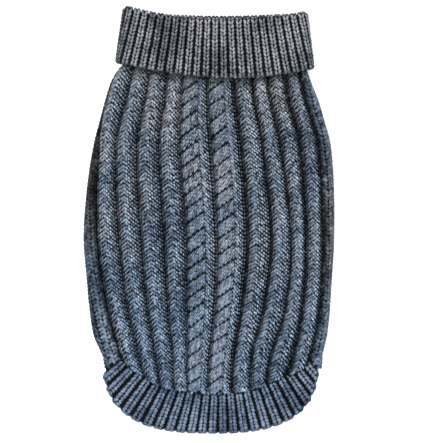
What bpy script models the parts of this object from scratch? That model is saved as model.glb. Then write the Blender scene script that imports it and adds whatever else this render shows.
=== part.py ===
"""Knitted dog sweater, small size, laid flat on its belly side with the cabled back up.

The garment is a flattened tube. +Y runs from the tail to the neck, +Z is up, and the part
rests on z = 0. Lengths are in millimetres until a piece is finished, and metres after that.
Every piece is a closed wall: an outer surface with its ribs and cables raised in it, a plain
inner surface, and end faces between them.
"""
import math

import bmesh
import bpy

for old in list(bpy.data.objects):
    bpy.data.objects.remove(old, do_unlink=True)

MM = 0.001
PLAN_MIDDLE = (0.5, -0.1)  # where the middle of the whole part lies in the plan used below

# Cloth
WALL = 2.6                # plain knit of back and belly, without its ridges
RIB_WALL = 2.4            # 1x1 rib of the collar and of the two rear bands
SEAM_GAP = 0.3            # between two pieces at a seam
LAYER_GAP = 0.8           # air between the top layer and the one below it

# Back: rope ridges and cables
RIDGE_RISE = 5.2
CABLE_RISE = 4.4
STRAND_RISE = 2.4         # a strand's belly above the crossing line beside it
STRAND_PITCH = 9.8        # from one crossing to the next along a cable
STRAND_SLOPE = 0.7        # climb of a crossing line towards the right, mm per mm
STRAND_END = 0.62         # share of a cable's width that its strands take
RIDGE_END_SHARE = 0.42    # of a ridge's rise that is left where it meets the tail rib
RIDGE_END_LENGTH = 9.0    # over which it sinks to that
FOLD_BULGE = 3.2          # how far the side ridge stands out from the rolled edge
EDGE_RIDGE_WIDTH = 14.0
FOLD_ARC_RADIUS = 4.5     # mean radius of the knit round the rolled edge

# Heights along the garment, from its middle
NECK_SEAM = 110.0
RIM = -90.7               # where the rear rim passes from the back to the belly
BELLY_SEAM = -64.0
BELLY_RIM = -88.4

# Under seams: plan positions of the straight seams between back and belly
UNDER_SEAM_AT_NECK = (-40.0, 46.0)
UNDER_SEAM_AT_RIM = (-53.0, 58.0)

# Leg openings, cut into both sides of the belly
LEG_TOP = 86.0
LEG_BOTTOM = 34.0
LEG_DEPTH = 21.0

# Collar, a ribbed tube turned down outside
COLLAR_RIBS = 25          # on the upper half of the tube
COLLAR_RIB_RISE = 1.7
COLLAR_HEIGHT_AT_FOLD = 10.8
COLLAR_HEIGHT_AT_EDGE = 15.6
COLLAR_SIDES_AT_FOLD = (-57.0, 66.7)
COLLAR_SIDES_AT_EDGE = (-61.7, 70.8)
COLLAR_SIDES_AT_NECK = (-54.6, 62.4)
COLLAR_CORNER = 0.036     # share of the loop taken by each rounded quarter at a side
COLLAR_SIDE_ROUND = 5.4   # how far in from its side the loop starts to round

# Where the columns of a ribbed surface stand, as shares of the width of each rib
RIB_SHARES = (0.0, 0.15, 0.5, 0.85)

# Tail rib, the fan of ribs round the back's rear edge
TAIL_RIBS = 23
TAIL_RIB_RISE = 1.9
TAIL_FAN_SPREAD = 0.02    # how much wider the ribs are towards both corners
TAIL_SCALLOP = 0.9        # how far each rib's end stands out beyond the grooves
TAIL_MIDDLE = 2.0         # plan position of the fan's middle
TAIL_DEPTH = 52.2
TAIL_SIDES = (            # a row for each side of the fan, roundness 2 would be an ellipse
    # half width, roundness, where the rim starts, where the first or last rib leaves the seam
    (72.6, 2.7, (-69.9, -102.5), -60.5),
    (72.0, 2.8, (73.5, -100.8), 69.5),
)

# Silhouette of the body, a row for each section
OUTLINE = (
    # height, left, right
    (-90.7, -70.6, 76.0),
    (-78.0, -76.7, 79.0),
    (-64.0, -79.2, 80.7),
    (-40.0, -81.2, 82.3),
    (-10.0, -83.3, 84.0),
    (28.0, -80.2, 83.5),
    (52.0, -76.2, 81.3),
    (66.0, -72.5, 77.5),
    (80.0, -68.8, 73.3),
    (92.0, -64.8, 68.4),
    (98.0, -61.4, 66.2),
    (105.0, -56.6, 64.4),
    (112.0, -54.6, 62.4),
)

# Grooves between the ridges, a row for each. The distances run across the back from the
# middle line, and on past the rolled edge where a ridge turns under.
GROOVE_HEIGHTS = (-108.0, -89.0, -60.0, -13.0, 50.0, 80.0, 112.0)
GROOVES = (
    # name, then its distance at each of the heights above
    ("far_left", -54.0, -59.0, -67.0, -74.0, -73.0, -69.0, -60.0),
    ("left_4", -42.0, -46.7, -54.0, -60.0, -62.0, -55.3, -47.5),
    ("left_3", -32.5, -36.0, -40.7, -45.3, -48.0, -42.7, -37.0),
    ("left_2", -23.3, -24.0, -27.3, -30.0, -33.3, -29.3, -26.0),
    ("left_1", -14.0, -14.0, -14.3, -14.7, -19.3, -18.0, -15.5),
    ("middle", 0.0, 1.3, 4.7, 6.0, 2.0, 0.0, 0.5),
    ("right_1", 15.3, 16.7, 21.3, 25.3, 21.3, 17.3, 15.5),
    ("right_2", 27.3, 28.7, 36.0, 41.3, 35.3, 30.0, 27.0),
    ("right_3", 38.0, 41.3, 50.7, 54.7, 47.3, 40.7, 37.0),
    ("right_4", 51.0, 57.3, 62.7, 65.3, 61.3, 54.0, 48.5),
    ("far_right", 63.0, 69.0, 74.5, 76.7, 73.6, 65.3, 58.0),
)

# Seam between the back and its tail rib, a row for each turn of the line
TAIL_SEAM = (
    # across, along
    (-70.6, -102.2),
    (-66.0, -98.6),
    (-60.5, -94.4),
    (-53.0, -98.4),
    (-43.0, -105.0),
    (-30.0, -112.6),
    (0.0, -116.7),
    (27.0, -115.0),
    (45.0, -108.0),
    (62.0, -100.6),
    (69.5, -94.8),
    (73.0, -98.6),
    (76.0, -102.0),
)

CABLES = ("left_1", "middle")     # the grooves that have a cable on their right

# The crossings are not quite evenly spaced: how far they lie below an even spacing
STRAND_SHIFTS = (
    # height, shift
    (-100.0, 3.0),
    (-80.0, 4.3),
    (-50.0, 4.0),
    (-25.0, 4.6),
    (0.0, 3.8),
    (27.0, 5.0),
    (46.0, 5.6),
    (78.0, 3.4),
)
BACK_LINES = len(GROOVES) + 4     # the grooves, the ends of both rolled edges, both seams

# Where the columns of the back's outer surface stand, as shares of the width of each ridge
ROPE_SHARES = (0.0, 0.09, 0.24, 0.5, 0.76, 0.91)
CABLE_SHARES = (0.0, 0.07, 0.2, 0.34, 0.48, 0.62, 0.78, 0.92)
FOLD_SHARES = tuple(step / 8 for step in range(8))
UNDER_SHARES = (0.0, 0.4, 0.8)
STRAND_ROWS = (0.0, 0.3, 0.7)          # shares of a strand's pitch
STRAND_ROWS_END = 0.8                  # share of a cable's width where its columns stop having them
BACK_ROWS = (0.0, 0.025, 0.05, 0.075, 0.1, 0.14, 0.19, 0.24, 0.3, 0.37, 0.46, 0.55, 0.64, 0.72,
             0.79, 0.85, 0.89, 0.92, 0.95, 0.975, 1.0)
INNER_ROWS = (0.0, 0.025, 0.05, 0.075, 0.1, 0.14, 0.24, 0.46, 0.64, 0.79, 0.85, 0.89, 0.92, 0.95,
              0.975, 1.0)


# ---------------------------------------------------------------- plain helpers

def ease(share):
    """0 to 1 with soft ends."""
    share = min(max(share, 0.0), 1.0)
    return share * share * (3.0 - 2.0 * share)


def mix(start, end, share):
    return start + (end - start) * share


def smooth_through(places, values, place):
    """The value at a place on a smooth curve through the given rows, in rising order."""
    last = len(places) - 1
    if place <= places[0]:
        return values[0]
    if place >= places[last]:
        return values[last]
    k = max(i for i in range(last) if places[i] <= place)

    def slope(i):
        low = max(i - 1, 0)
        high = min(i + 1, last)
        return (values[high] - values[low]) / (places[high] - places[low])

    width = places[k + 1] - places[k]
    t = (place - places[k]) / width
    return ((2 * t**3 - 3 * t**2 + 1) * values[k]
            + (t**3 - 2 * t**2 + t) * width * slope(k)
            + (3 * t**2 - 2 * t**3) * values[k + 1]
            + (t**3 - t**2) * width * slope(k + 1))


def column_of(table, index):
    return tuple(row[index] for row in table)


def spread(points, count):
    """Points at even distances along a polyline."""
    lengths = [0.0]
    for before, after in zip(points, points[1:]):
        lengths.append(lengths[-1] + math.dist(before, after))
    result = []
    k = 0
    for step in range(count + 1):
        target = lengths[-1] * step / count
        while k < len(points) - 2 and lengths[k + 1] < target:
            k += 1
        share = (target - lengths[k]) / (lengths[k + 1] - lengths[k])
        result.append(tuple(mix(a, b, share) for a, b in zip(points[k], points[k + 1])))
    return result


# ---------------------------------------------------------------- walls

class Wall:
    """Points and faces of one closed piece, gathered line by line."""

    def __init__(self):
        self.points = []
        self.faces = []

    def line(self, points):
        """Adds a row of points and gives their numbers."""
        first = len(self.points)
        self.points.extend(points)
        return list(range(first, len(self.points)))

    def join(self, first, second, first_keys=None, second_keys=None):
        """Fills the strip between two lines, which may have different numbers of points.

        The keys say how far along its line each point is. Each step goes to the line whose
        next point lies nearer to where the other line is, so the triangles stay short."""
        first_keys = first_keys or [i / (len(first) - 1) for i in range(len(first))]
        second_keys = second_keys or [i / (len(second) - 1) for i in range(len(second))]
        i = 0
        j = 0
        while i < len(first) - 1 or j < len(second) - 1:
            if i == len(first) - 1:
                steps_first = False
            elif j == len(second) - 1:
                steps_first = True
            else:
                first_reach = abs(first_keys[i + 1] - second_keys[j])
                steps_first = first_reach <= abs(second_keys[j + 1] - first_keys[i])
            if steps_first:
                self.faces.append((first[i], second[j], first[i + 1]))
                i += 1
            else:
                self.faces.append((first[i], second[j], second[j + 1]))
                j += 1

    def join_rings(self, first, second, first_keys, second_keys):
        """Fills the strip between two closed rings whose keys run from 0 to under 1."""
        self.join(first + first[:1], second + second[:1],
                  list(first_keys) + [1.0], list(second_keys) + [1.0])

    def finish(self, name, colour, roughness):
        """Makes the object, with its faces turned outwards."""
        mesh = bpy.data.meshes.new(name)
        metres = [((x - PLAN_MIDDLE[0]) * MM, (y - PLAN_MIDDLE[1]) * MM, z * MM) for x, y, z in self.points]
        mesh.from_pydata(metres, [], self.faces)
        shape = bmesh.new()
        shape.from_mesh(mesh)
        bmesh.ops.recalc_face_normals(shape, faces=shape.faces)
        shape.to_mesh(mesh)
        shape.free()
        mesh.shade_smooth()
        mesh.set_sharp_from_angle(angle=math.radians(50))
        mesh.materials.append(yarn(name, colour, roughness))
        piece = bpy.data.objects.new(name, mesh)
        bpy.context.collection.objects.link(piece)
        return piece


def yarn(name, colour, roughness):
    material = bpy.data.materials.new(name + "_yarn")
    material.use_nodes = True
    shader = material.node_tree.nodes["Principled BSDF"]
    shader.inputs["Base Color"].default_value = (*colour, 1.0)
    shader.inputs["Roughness"].default_value = roughness
    shader.inputs["Metallic"].default_value = 0.0
    return material


# ---------------------------------------------------------------- levels of the layers

def neck_lift(along):
    """How far the collar's lower turn-down lifts the layers that lie on it."""
    return (RIB_WALL + SEAM_GAP) * ease((along - 82.0) / 16.0)


def top_layer_floor(along):
    """Underside of the top layer. Past the belly it sinks to the surface it lies on."""
    over_belly = ease((along + 111.0) / 17.0)
    return neck_lift(along) + (WALL + LAYER_GAP) * over_belly


def ridge_share(along):
    """Ridges are drawn flat under the collar."""
    return mix(0.22, 1.0, ease((106.0 - along) / 22.0))


# ---------------------------------------------------------------- back

def outline_side(along, side):
    return smooth_through(column_of(OUTLINE, 0), column_of(OUTLINE, side), along)


def under_seam(along, side):
    """Plan position of the seam between back and belly, side 0 left and 1 right."""
    share = (along - RIM) / (NECK_SEAM - RIM)
    return mix(UNDER_SEAM_AT_RIM[side], UNDER_SEAM_AT_NECK[side], share)


def fold_centre(along, side):
    """Plan position from which the wall rolls under, side 0 left and 1 right."""
    reach = (WALL + LAYER_GAP) / 2 + WALL / 2 + FOLD_BULGE * ridge_share(along)
    return outline_side(along, 1) + reach if side == 0 else outline_side(along, 2) - reach


def groove(index, along):
    return smooth_through(GROOVE_HEIGHTS, GROOVES[index][1:], along)


def back_line(index, along):
    """Distance from the middle, across the cloth, of the back's named lines, left to right:
    under seam, end of the left roll, the grooves, end of the right roll, under seam."""
    half_turn = math.pi * FOLD_ARC_RADIUS
    left = fold_centre(along, 0)
    right = fold_centre(along, 1)
    if index == 0:
        return left - half_turn - (under_seam(along, 0) - left)
    if index == 1:
        return left - half_turn
    if index == BACK_LINES - 2:
        return right + half_turn
    if index == BACK_LINES - 1:
        return right + half_turn + (right - under_seam(along, 1))
    return groove(index - 2, along)


def back_place(across, along):
    """Plan position, height of the wall's middle, and outward direction at a place."""
    level = top_layer_floor(along) + WALL / 2
    under_level = neck_lift(along) + WALL / 2
    for side, sign in ((0, -1.0), (1, 1.0)):
        centre = fold_centre(along, side)
        past = (across - centre) * sign
        if past <= 0.0:
            continue
        turn = past / FOLD_ARC_RADIUS
        radius = (level - under_level) / 2
        if turn >= math.pi:
            inward = past - math.pi * FOLD_ARC_RADIUS
            return centre - sign * inward, under_level, 0.0, -1.0
        x = centre + sign * radius * math.sin(turn)
        z = (level + under_level) / 2 + radius * math.cos(turn)
        return x, z, sign * math.sin(turn), math.cos(turn)
    return across, level, 0.0, 1.0


def roll(share):
    """Cross-section of a ridge, 0 in its grooves and 1 on its crest."""
    return max(1.0 - abs(2.0 * share - 1.0) ** 2.4, 0.0) ** 0.6


def strand_shift(along):
    return smooth_through(column_of(STRAND_SHIFTS, 0), column_of(STRAND_SHIFTS, 1), along)


def strand(share, across_cable, along):
    """Height of the crossing strands of a cable above its roll."""
    if not 0.0 < share < STRAND_END + 0.1:
        return 0.0
    phase = (along + strand_shift(along) - STRAND_SLOPE * across_cable) / STRAND_PITCH
    belly = abs(math.sin(math.pi * phase)) ** 0.6
    side = min(ease(share / 0.12), ease((STRAND_END + 0.1 - share) / 0.14))
    return STRAND_RISE * belly * side


def back_rise(across, along):
    """Height of ridges and cables above the plain wall."""
    first = groove(0, along)
    last = groove(len(GROOVES) - 1, along)
    if first <= across < last:
        k = max(i for i in range(len(GROOVES) - 1) if groove(i, along) <= across)
        low = groove(k, along)
        high = groove(k + 1, along)
        share = (across - low) / (high - low)
        height = RIDGE_RISE * roll(share)
        if GROOVES[k][0] in CABLES:
            height = CABLE_RISE * roll(share)
            height += strand(share, across - low, along) * ridge_share(along)
    else:
        beyond = max(first - across, across - last) / EDGE_RIDGE_WIDTH
        height = RIDGE_RISE * roll(min(beyond, 1.0))
    for side, sign in ((0, -1.0), (1, 1.0)):
        turn = (across - fold_centre(along, side)) * sign / FOLD_ARC_RADIUS
        if turn > 0.0:
            onto_edge = ease(turn / math.radians(65))
            off_edge = 1.0 - ease((turn - math.radians(95)) / math.radians(75))
            height = mix(height, FOLD_BULGE, onto_edge) * off_edge
    return height * ridge_share(along)


def end_share(x, along):
    """Ridges sink towards the tail rib."""
    return mix(RIDGE_END_SHARE, 1.0, ease((along - tail_seam(x)) / RIDGE_END_LENGTH))


def back_point(across, along, outer):
    x, z, out_x, out_z = back_place(across, along)
    away = WALL / 2 + back_rise(across, along) * end_share(x, along) if outer else -WALL / 2
    return x + out_x * away, along, max(z + out_z * away, neck_lift(along))


def tail_seam(x):
    return smooth_through(column_of(TAIL_SEAM, 0), column_of(TAIL_SEAM, 1), x)


def back_columns():
    """(line, share of the way to the next line) of every column of the outer surface."""
    columns = []
    for line in range(BACK_LINES - 1):
        if line in (0, BACK_LINES - 2):
            shares = UNDER_SHARES
        elif line in (1, BACK_LINES - 3):
            shares = FOLD_SHARES
        else:
            shares = CABLE_SHARES if is_cable(line) else ROPE_SHARES
        columns.extend((line, share) for share in shares)
    columns.append((BACK_LINES - 2, 1.0))
    return columns


def is_cable(line):
    """Whether a cable lies between this line of the back and the next."""
    first_groove = 2
    return line >= first_groove and line < BACK_LINES - 3 and GROOVES[line - first_groove][0] in CABLES


def column_across(column, along):
    line, share = column
    return mix(back_line(line, along), back_line(line + 1, along), share)


def column_rear(column, outer):
    """Height at which a column of the outer or inner surface meets the rear edge: the tail seam,
    or the rim underneath."""
    rear = RIM
    for _ in range(12):
        across = column_across(column, rear)
        if back_place(across, rear)[3] < 0.0:
            return RIM
        rear = min(tail_seam(back_point(across, rear, outer)[0]), RIM)
    return rear


def column_rows(column):
    """Heights of a column's points, from the neck down. In a cable they lie on the strands."""
    neck = NECK_SEAM - SEAM_GAP
    rear = column_rear(column, True)
    line, share = column
    if not is_cable(line) or not 0.0 < share <= STRAND_ROWS_END:
        return [mix(neck, rear, row) for row in BACK_ROWS]
    heights = []
    crossings = range(math.floor(rear / STRAND_PITCH) - 2, math.ceil(neck / STRAND_PITCH) + 2)
    for level in [(crossing + row) * STRAND_PITCH for crossing in crossings for row in STRAND_ROWS]:
        along = level
        for _ in range(4):
            across_cable = column_across(column, along) - back_line(line, along)
            along = level + STRAND_SLOPE * across_cable - strand_shift(along)
        if rear + 1.2 < along < neck - 1.2:
            heights.append(along)
    return [neck] + sorted(heights, reverse=True) + [rear]


def make_back():
    wall = Wall()
    columns = back_columns()

    outer = []
    for column in columns:
        points = [back_point(column_across(column, along), along, True) for along in column_rows(column)]
        outer.append((wall.line(points), points))
    for column, before, after in zip(columns, outer, outer[1:]):
        slope = STRAND_SLOPE if is_cable(column[0]) else 0.0
        keys = [[slope * x - along for x, along, _ in points] for _, points in (before, after)]
        wall.join(before[0], after[0], *keys)

    coarse_shares = (0.0, 0.25, 0.4, 0.48, 0.5, 0.75, 0.8, 1.0)
    numbers = range(len(columns))
    coarse = [k for k in numbers if columns[k][1] in coarse_shares]
    inner = []
    for row in INNER_ROWS:
        keys = list(numbers) if row == INNER_ROWS[-1] else coarse
        points = []
        for k in keys:
            along = mix(NECK_SEAM - SEAM_GAP, column_rear(columns[k], False), row)
            points.append(back_point(column_across(columns[k], along), along, False))
        inner.append((wall.line(points), keys))
    for (before, before_keys), (after, after_keys) in zip(inner, inner[1:]):
        wall.join(before, after, before_keys, after_keys)

    wall.join([line[0] for line, _ in outer], inner[0][0], list(numbers), inner[0][1])
    wall.join([line[-1] for line, _ in outer], inner[-1][0])
    for end in (0, -1):
        wall.join(outer[end][0], [line[end] for line, _ in inner], BACK_ROWS, INNER_ROWS)
    return wall.finish("back_panel", (0.078, 0.105, 0.146), 0.9)


# ---------------------------------------------------------------- belly and its rib

def belly_side(along, side):
    """Plan position of the belly's edge: its seam, or the leg opening cut into it."""
    inward = 1.0 if side == 0 else -1.0
    edge = under_seam(along, side) + inward * SEAM_GAP
    share = (along - LEG_BOTTOM) / (LEG_TOP - LEG_BOTTOM)
    if 0.0 < share < 1.0:
        edge += inward * LEG_DEPTH * math.sin(math.pi * share) ** 0.55
    return edge


def sheet_between(wall, heights, thickness, shares):
    """A flat-bottomed sheet between the two under seams, as rows from neck to rear."""
    layers = []
    for level in (0.0, thickness):
        rows = []
        for along in heights:
            left = belly_side(along, 0)
            right = belly_side(along, 1)
            height = neck_lift(along) + level
            rows.append(wall.line([(mix(left, right, share), along, height) for share in shares]))
        for before, after in zip(rows, rows[1:]):
            wall.join(before, after)
        layers.append(rows)
    low, high = layers
    for row in (0, -1):
        wall.join(low[row], high[row])
    for end in (0, -1):
        wall.join([row[end] for row in low], [row[end] for row in high])


def make_belly():
    wall = Wall()
    heights = [NECK_SEAM - SEAM_GAP, 102.0, 98.0, 95.0, 92.0, 89.0]
    cut_rows = 14
    for row in range(cut_rows + 1):
        heights.append(mix(LEG_TOP, LEG_BOTTOM, 0.5 - 0.5 * math.cos(math.pi * row / cut_rows)))
    heights += [0.0, -32.0, BELLY_SEAM + SEAM_GAP]
    sheet_between(wall, heights, WALL, (0.0, 0.2, 0.5, 0.8, 1.0))
    return wall.finish("belly_panel", (0.074, 0.100, 0.140), 0.9)


def make_belly_rib():
    wall = Wall()
    heights = (BELLY_SEAM, mix(BELLY_SEAM, BELLY_RIM, 0.5), BELLY_RIM)
    sheet_between(wall, heights, RIB_WALL, (0.0, 0.5, 1.0))
    return wall.finish("belly_rib", (0.066, 0.090, 0.134), 0.9)


# ---------------------------------------------------------------- tail rib

def tail_edge_points(count):
    """The fan's outer edge, from the left rim round to the right one."""
    points = []
    steps = 240
    for i in range(1, steps):
        angle = math.pi * (1.0 + i / steps)
        cosine = math.cos(angle)
        half_width, roundness, rim, _ = TAIL_SIDES[0 if cosine < 0.0 else 1]
        x = TAIL_MIDDLE + half_width * math.copysign(abs(cosine) ** (2.0 / roundness), cosine)
        y = RIM - TAIL_DEPTH * abs(math.sin(angle)) ** (2.0 / roundness)
        if y < rim[1] - 1.5:
            points.append((x, y))
    return spread([TAIL_SIDES[0][2]] + points + [TAIL_SIDES[1][2]], count)


def tail_seam_points(count):
    """The fan's inner edge, just clear of the stretch of the tail seam that its ribs leave from."""
    start = TAIL_SIDES[0][3]
    end = TAIL_SIDES[1][3]
    steps = 240
    places = [mix(start, end, i / steps) for i in range(steps + 1)]
    return spread([(x, tail_seam(x) - 2.0 * SEAM_GAP) for x in places], count)


def rib_roll(share):
    """Cross-section of one rib of 1x1 rib knit, with a narrow groove."""
    return max(1.0 - abs(2.0 * (share % 1.0) - 1.0) ** 3.0, 0.0) ** 0.6


def make_tail_rib():
    wall = Wall()
    steps = 40                       # samples of both edges for each rib
    seam_line = tail_seam_points(TAIL_RIBS * steps)
    edge_line = tail_edge_points(TAIL_RIBS * steps)
    places = [(rib + share) / TAIL_RIBS for rib in range(TAIL_RIBS) for share in RIB_SHARES] + [1.0]
    rows = (
        # share of the rib's length, how high its roll stands there
        (0.0, 0.55),
        (0.1, 1.0),
        (0.4, 1.0),
        (0.7, 1.0),
        (0.93, 0.8),
        (1.0, 0.1),
    )
    under_rows = (0, 2, 3, 5)
    upper = []
    lower = []
    for place in places:
        sample = round((place + TAIL_FAN_SPREAD * math.sin(2.0 * math.pi * place)) * TAIL_RIBS * steps)
        seam = seam_line[sample]
        edge = edge_line[sample]
        rib = rib_roll(place * TAIL_RIBS)
        length = math.dist(seam, edge)
        end = 1.0 + TAIL_SCALLOP * (rib - 0.5) / length
        top = []
        bottom = []
        for row, height in rows:
            reach = row * end
            x = mix(seam[0], edge[0], reach)
            y = mix(seam[1], edge[1], reach)
            floor = top_layer_floor(y)
            top.append((x, y, floor + RIB_WALL * mix(0.8, 1.0, height) + TAIL_RIB_RISE * rib * height))
            bottom.append((x, y, floor))
        upper.append(wall.line(top))
        lower.append(wall.line([bottom[row] for row in under_rows]))
    for lines in (upper, lower):
        for before, after in zip(lines, lines[1:]):
            wall.join(before, after)
    for end in (0, -1):
        wall.join([line[end] for line in upper], [line[end] for line in lower])
        wall.join(upper[end], lower[end], [row[0] for row in rows], [rows[row][0] for row in under_rows])
    return wall.finish("tail_rib", (0.066, 0.090, 0.134), 0.9)


# ---------------------------------------------------------------- collar

def sagging(x, left, middle_x, middle, right, sides):
    """Height of an edge that sags from both sides to its lowest place."""
    if x < middle_x:
        share = (middle_x - x) / (middle_x - sides[0])
        return mix(middle, left, share * share)
    share = (x - middle_x) / (sides[1] - middle_x)
    return mix(middle, right, share * share)


def fold_height(x, is_upper):
    """Height of the collar's top fold, on its upper and its lower half."""
    if is_upper:
        return sagging(x, 143.4, 9.0, 133.9, 139.0, COLLAR_SIDES_AT_FOLD)
    return sagging(x, 141.0, 9.0, 137.4, 139.9, COLLAR_SIDES_AT_FOLD)


def edge_height(x, is_upper):
    """Height of the collar's free edge."""
    if is_upper:
        return sagging(x, 105.0, 18.0, 93.9, 100.6, COLLAR_SIDES_AT_EDGE)
    return sagging(x, 105.0, 18.0, 100.2, 101.6, COLLAR_SIDES_AT_EDGE)


def loop_place(share, sides, low, high, depth):
    """A place on a flattened loop, share 0 at the left side, 0.25 on top, 0.5 at the right.
    The loop lies inside the given box by the given depth. Gives x, z and outward direction."""
    round_z = (high - low) / 2 - depth
    round_x = COLLAR_SIDE_ROUND - depth
    middle = (high + low) / 2
    left = sides[0] + COLLAR_SIDE_ROUND
    right = sides[1] - COLLAR_SIDE_ROUND
    half = share % 0.5
    if half < COLLAR_CORNER:
        angle = math.pi - math.pi / 2 * half / COLLAR_CORNER
        x = left
    elif half > 0.5 - COLLAR_CORNER:
        angle = math.pi / 2 * (0.5 - half) / COLLAR_CORNER
        x = right
    else:
        angle = math.pi / 2
        x = mix(left, right, (half - COLLAR_CORNER) / (0.5 - 2 * COLLAR_CORNER))
    out_x = math.cos(angle)
    out_z = math.sin(angle)
    if share % 1.0 >= 0.5:
        x = left + right - x
        out_x = -out_x
        out_z = -out_z
    return x + out_x * round_x, middle + out_z * round_z, out_x, out_z


def collar_point(share, reach, depth, bend_angle, rib, is_inner):
    """A point of the collar's wall.

    reach: 0 at the top fold, 1 at the free edge or, on the inner tube, at the neck seam.
    depth: distance in from the outer surface. bend_angle: how far round the top fold, where
    a rib stands out from the bend."""
    if is_inner:
        beside = RIB_WALL + SEAM_GAP
        sides_end = (COLLAR_SIDES_AT_NECK[0] - beside, COLLAR_SIDES_AT_NECK[1] + beside)
        high = COLLAR_HEIGHT_AT_FOLD
        sides = [mix(a, b, reach) for a, b in zip(COLLAR_SIDES_AT_FOLD, sides_end)]
    else:
        sides = [mix(a, b, reach) for a, b in zip(COLLAR_SIDES_AT_FOLD, COLLAR_SIDES_AT_EDGE)]
        high = mix(COLLAR_HEIGHT_AT_FOLD, COLLAR_HEIGHT_AT_EDGE, reach * reach)
    sides = [sides[0] + COLLAR_RIB_RISE / 2, sides[1] - COLLAR_RIB_RISE / 2]
    x, z, out_x, out_z = loop_place(share, sides, 0.0, high, depth)
    rise = COLLAR_RIB_RISE * rib * ease((out_z + 0.95) / 0.5)
    upper_share = ease((out_z + 1.0) / 2.0)
    fold = mix(fold_height(x, False), fold_height(x, True), upper_share) - fold_bend()
    if is_inner:
        end = NECK_SEAM
    else:
        end = mix(edge_height(x, False), edge_height(x, True), upper_share)
    flat_rise = rise * math.cos(bend_angle)
    along = mix(fold, end, reach) + (fold_bend() + rise) * math.sin(bend_angle)
    return x + out_x * flat_rise, along, max(z + out_z * flat_rise, 0.0)


def fold_bend():
    """Outer radius of the collar's top fold."""
    return RIB_WALL + SEAM_GAP / 2


def make_collar():
    wall = Wall()
    corner_steps = 4
    flat_steps = 18
    half = [COLLAR_CORNER * i / corner_steps for i in range(corner_steps)]
    half += [mix(COLLAR_CORNER, 0.5 - COLLAR_CORNER, i / flat_steps) for i in range(flat_steps + 1)]
    half += [0.5 - COLLAR_CORNER * i / corner_steps for i in range(corner_steps - 1, 0, -1)]
    plain = half + [0.5 + share for share in half]
    ribbed = [0.5 * (rib + share) / COLLAR_RIBS for rib in range(COLLAR_RIBS) for share in RIB_SHARES]
    ribbed += [0.5 + share for share in half]

    def rib_at(share):
        return rib_roll(share * 2 * COLLAR_RIBS) if share < 0.5 else 0.0

    rings = []

    def ring(shares, reach, depth, ribs=0.0, bend_angle=0.0, is_inner=False):
        points = [collar_point(s, reach, depth, bend_angle, ribs * rib_at(s), is_inner) for s in shares]
        rings.append((wall.line(points), shares))

    bend = fold_bend()
    inner_depth = 2 * RIB_WALL + SEAM_GAP      # inside of the inner tube
    outer_depth = RIB_WALL + SEAM_GAP          # its outside, under the turn-down
    for reach, ribs in ((1.0, 0.35), (0.95, 0.95), (0.7, 1.0), (0.4, 1.0), (0.15, 1.0), (0.0, 1.0)):
        ring(ribbed, reach, 0.0, ribs)
    for angle, ribs in ((math.pi / 6, 0.9), (math.pi / 3, 0.75), (math.pi / 2, 0.6)):
        ring(ribbed, 0.0, bend * (1.0 - math.cos(angle)), ribs, angle)
    for angle in (math.pi * 0.75, math.pi):
        ring(plain, 0.0, bend * (1.0 - math.cos(angle)), 0.0, angle, True)
    for reach, depth in ((0.5, inner_depth), (1.0, inner_depth), (1.0, outer_depth), (0.5, outer_depth),
                         (0.0, outer_depth)):
        ring(plain, reach, depth, is_inner=True)
    for reach in (0.0, 0.5, 0.8, 1.0):
        ring(plain, reach, RIB_WALL)
    for (before, before_keys), (after, after_keys) in zip(rings, rings[1:] + rings[:1]):
        wall.join_rings(before, after, before_keys, after_keys)
    return wall.finish("collar", (0.094, 0.106, 0.125), 0.9)


# ---------------------------------------------------------------- the sweater

make_back()
make_belly()
make_collar()
make_tail_rib()
make_belly_rib()
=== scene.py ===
# %% [markdown]
# # A knitted dog sweater, stitch by stitch
# The sweater lies flat with its cabled back up. Five knitted pieces make it: a back, a belly, a
# ribbed roll collar, a fan of ribs round the tail and a short rib under the belly. The CAD model
# has them as solid walls. Here each wall becomes a thin shell of the same form, painted dark as the
# shade that shows between the stitches, and the yarn of every stitch is laid on that shell as real
# geometry.

# %% The frame
import math

import bmesh
import bpy
import numpy as np
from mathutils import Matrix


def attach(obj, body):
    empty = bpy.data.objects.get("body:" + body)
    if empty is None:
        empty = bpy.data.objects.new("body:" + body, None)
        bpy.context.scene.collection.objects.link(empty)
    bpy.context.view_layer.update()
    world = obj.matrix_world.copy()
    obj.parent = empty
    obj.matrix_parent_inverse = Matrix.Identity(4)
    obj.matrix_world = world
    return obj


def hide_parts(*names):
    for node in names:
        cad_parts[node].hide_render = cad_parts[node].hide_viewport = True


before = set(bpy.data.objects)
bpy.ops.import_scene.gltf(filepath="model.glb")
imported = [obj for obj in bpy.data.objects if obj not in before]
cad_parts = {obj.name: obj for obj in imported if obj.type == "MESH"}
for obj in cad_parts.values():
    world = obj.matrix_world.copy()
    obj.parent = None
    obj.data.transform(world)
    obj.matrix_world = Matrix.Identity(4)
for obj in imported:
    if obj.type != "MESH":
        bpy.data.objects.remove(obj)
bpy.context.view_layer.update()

# %% [markdown]
# ## The yarn and the gauge
# Knitters describe cloth by its gauge: how far it is from one stitch or row to the next. All
# stitches below are placed from these few lengths. Lengths are in millimetres until a mesh is
# made, because that is how cloth is measured.

# %% Gauge
MM = 0.001
ROW = 2.55                # from one knitted row to the next
YARN_HALF_HEIGHT = 0.85   # half the thickness of the yarn as it lies in a stitch
YARN_FULLNESS = 1.04      # neighbouring rows press into each other by this share
LEG_DEPTH_MIDDLE = 0.9    # a stitch leg's middle below the cloth's outer surface
LEG_DEPTH_ENDS = 1.1      # its ends tuck in under their neighbours
SHELL_DEPTH = 1.5         # top of the shell, painted dark as shade, below the cloth's outer surface
SHELL_THICKNESS = 0.9
HAND = np.random.default_rng(27)   # small unevenness of hand and yarn, the same each run
PLAN_MIDDLE = np.array((0.5, -0.1, 0.0))
SIDES = ((0, -1.0), (1, 1.0))      # number and sign of the left and the right side


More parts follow.
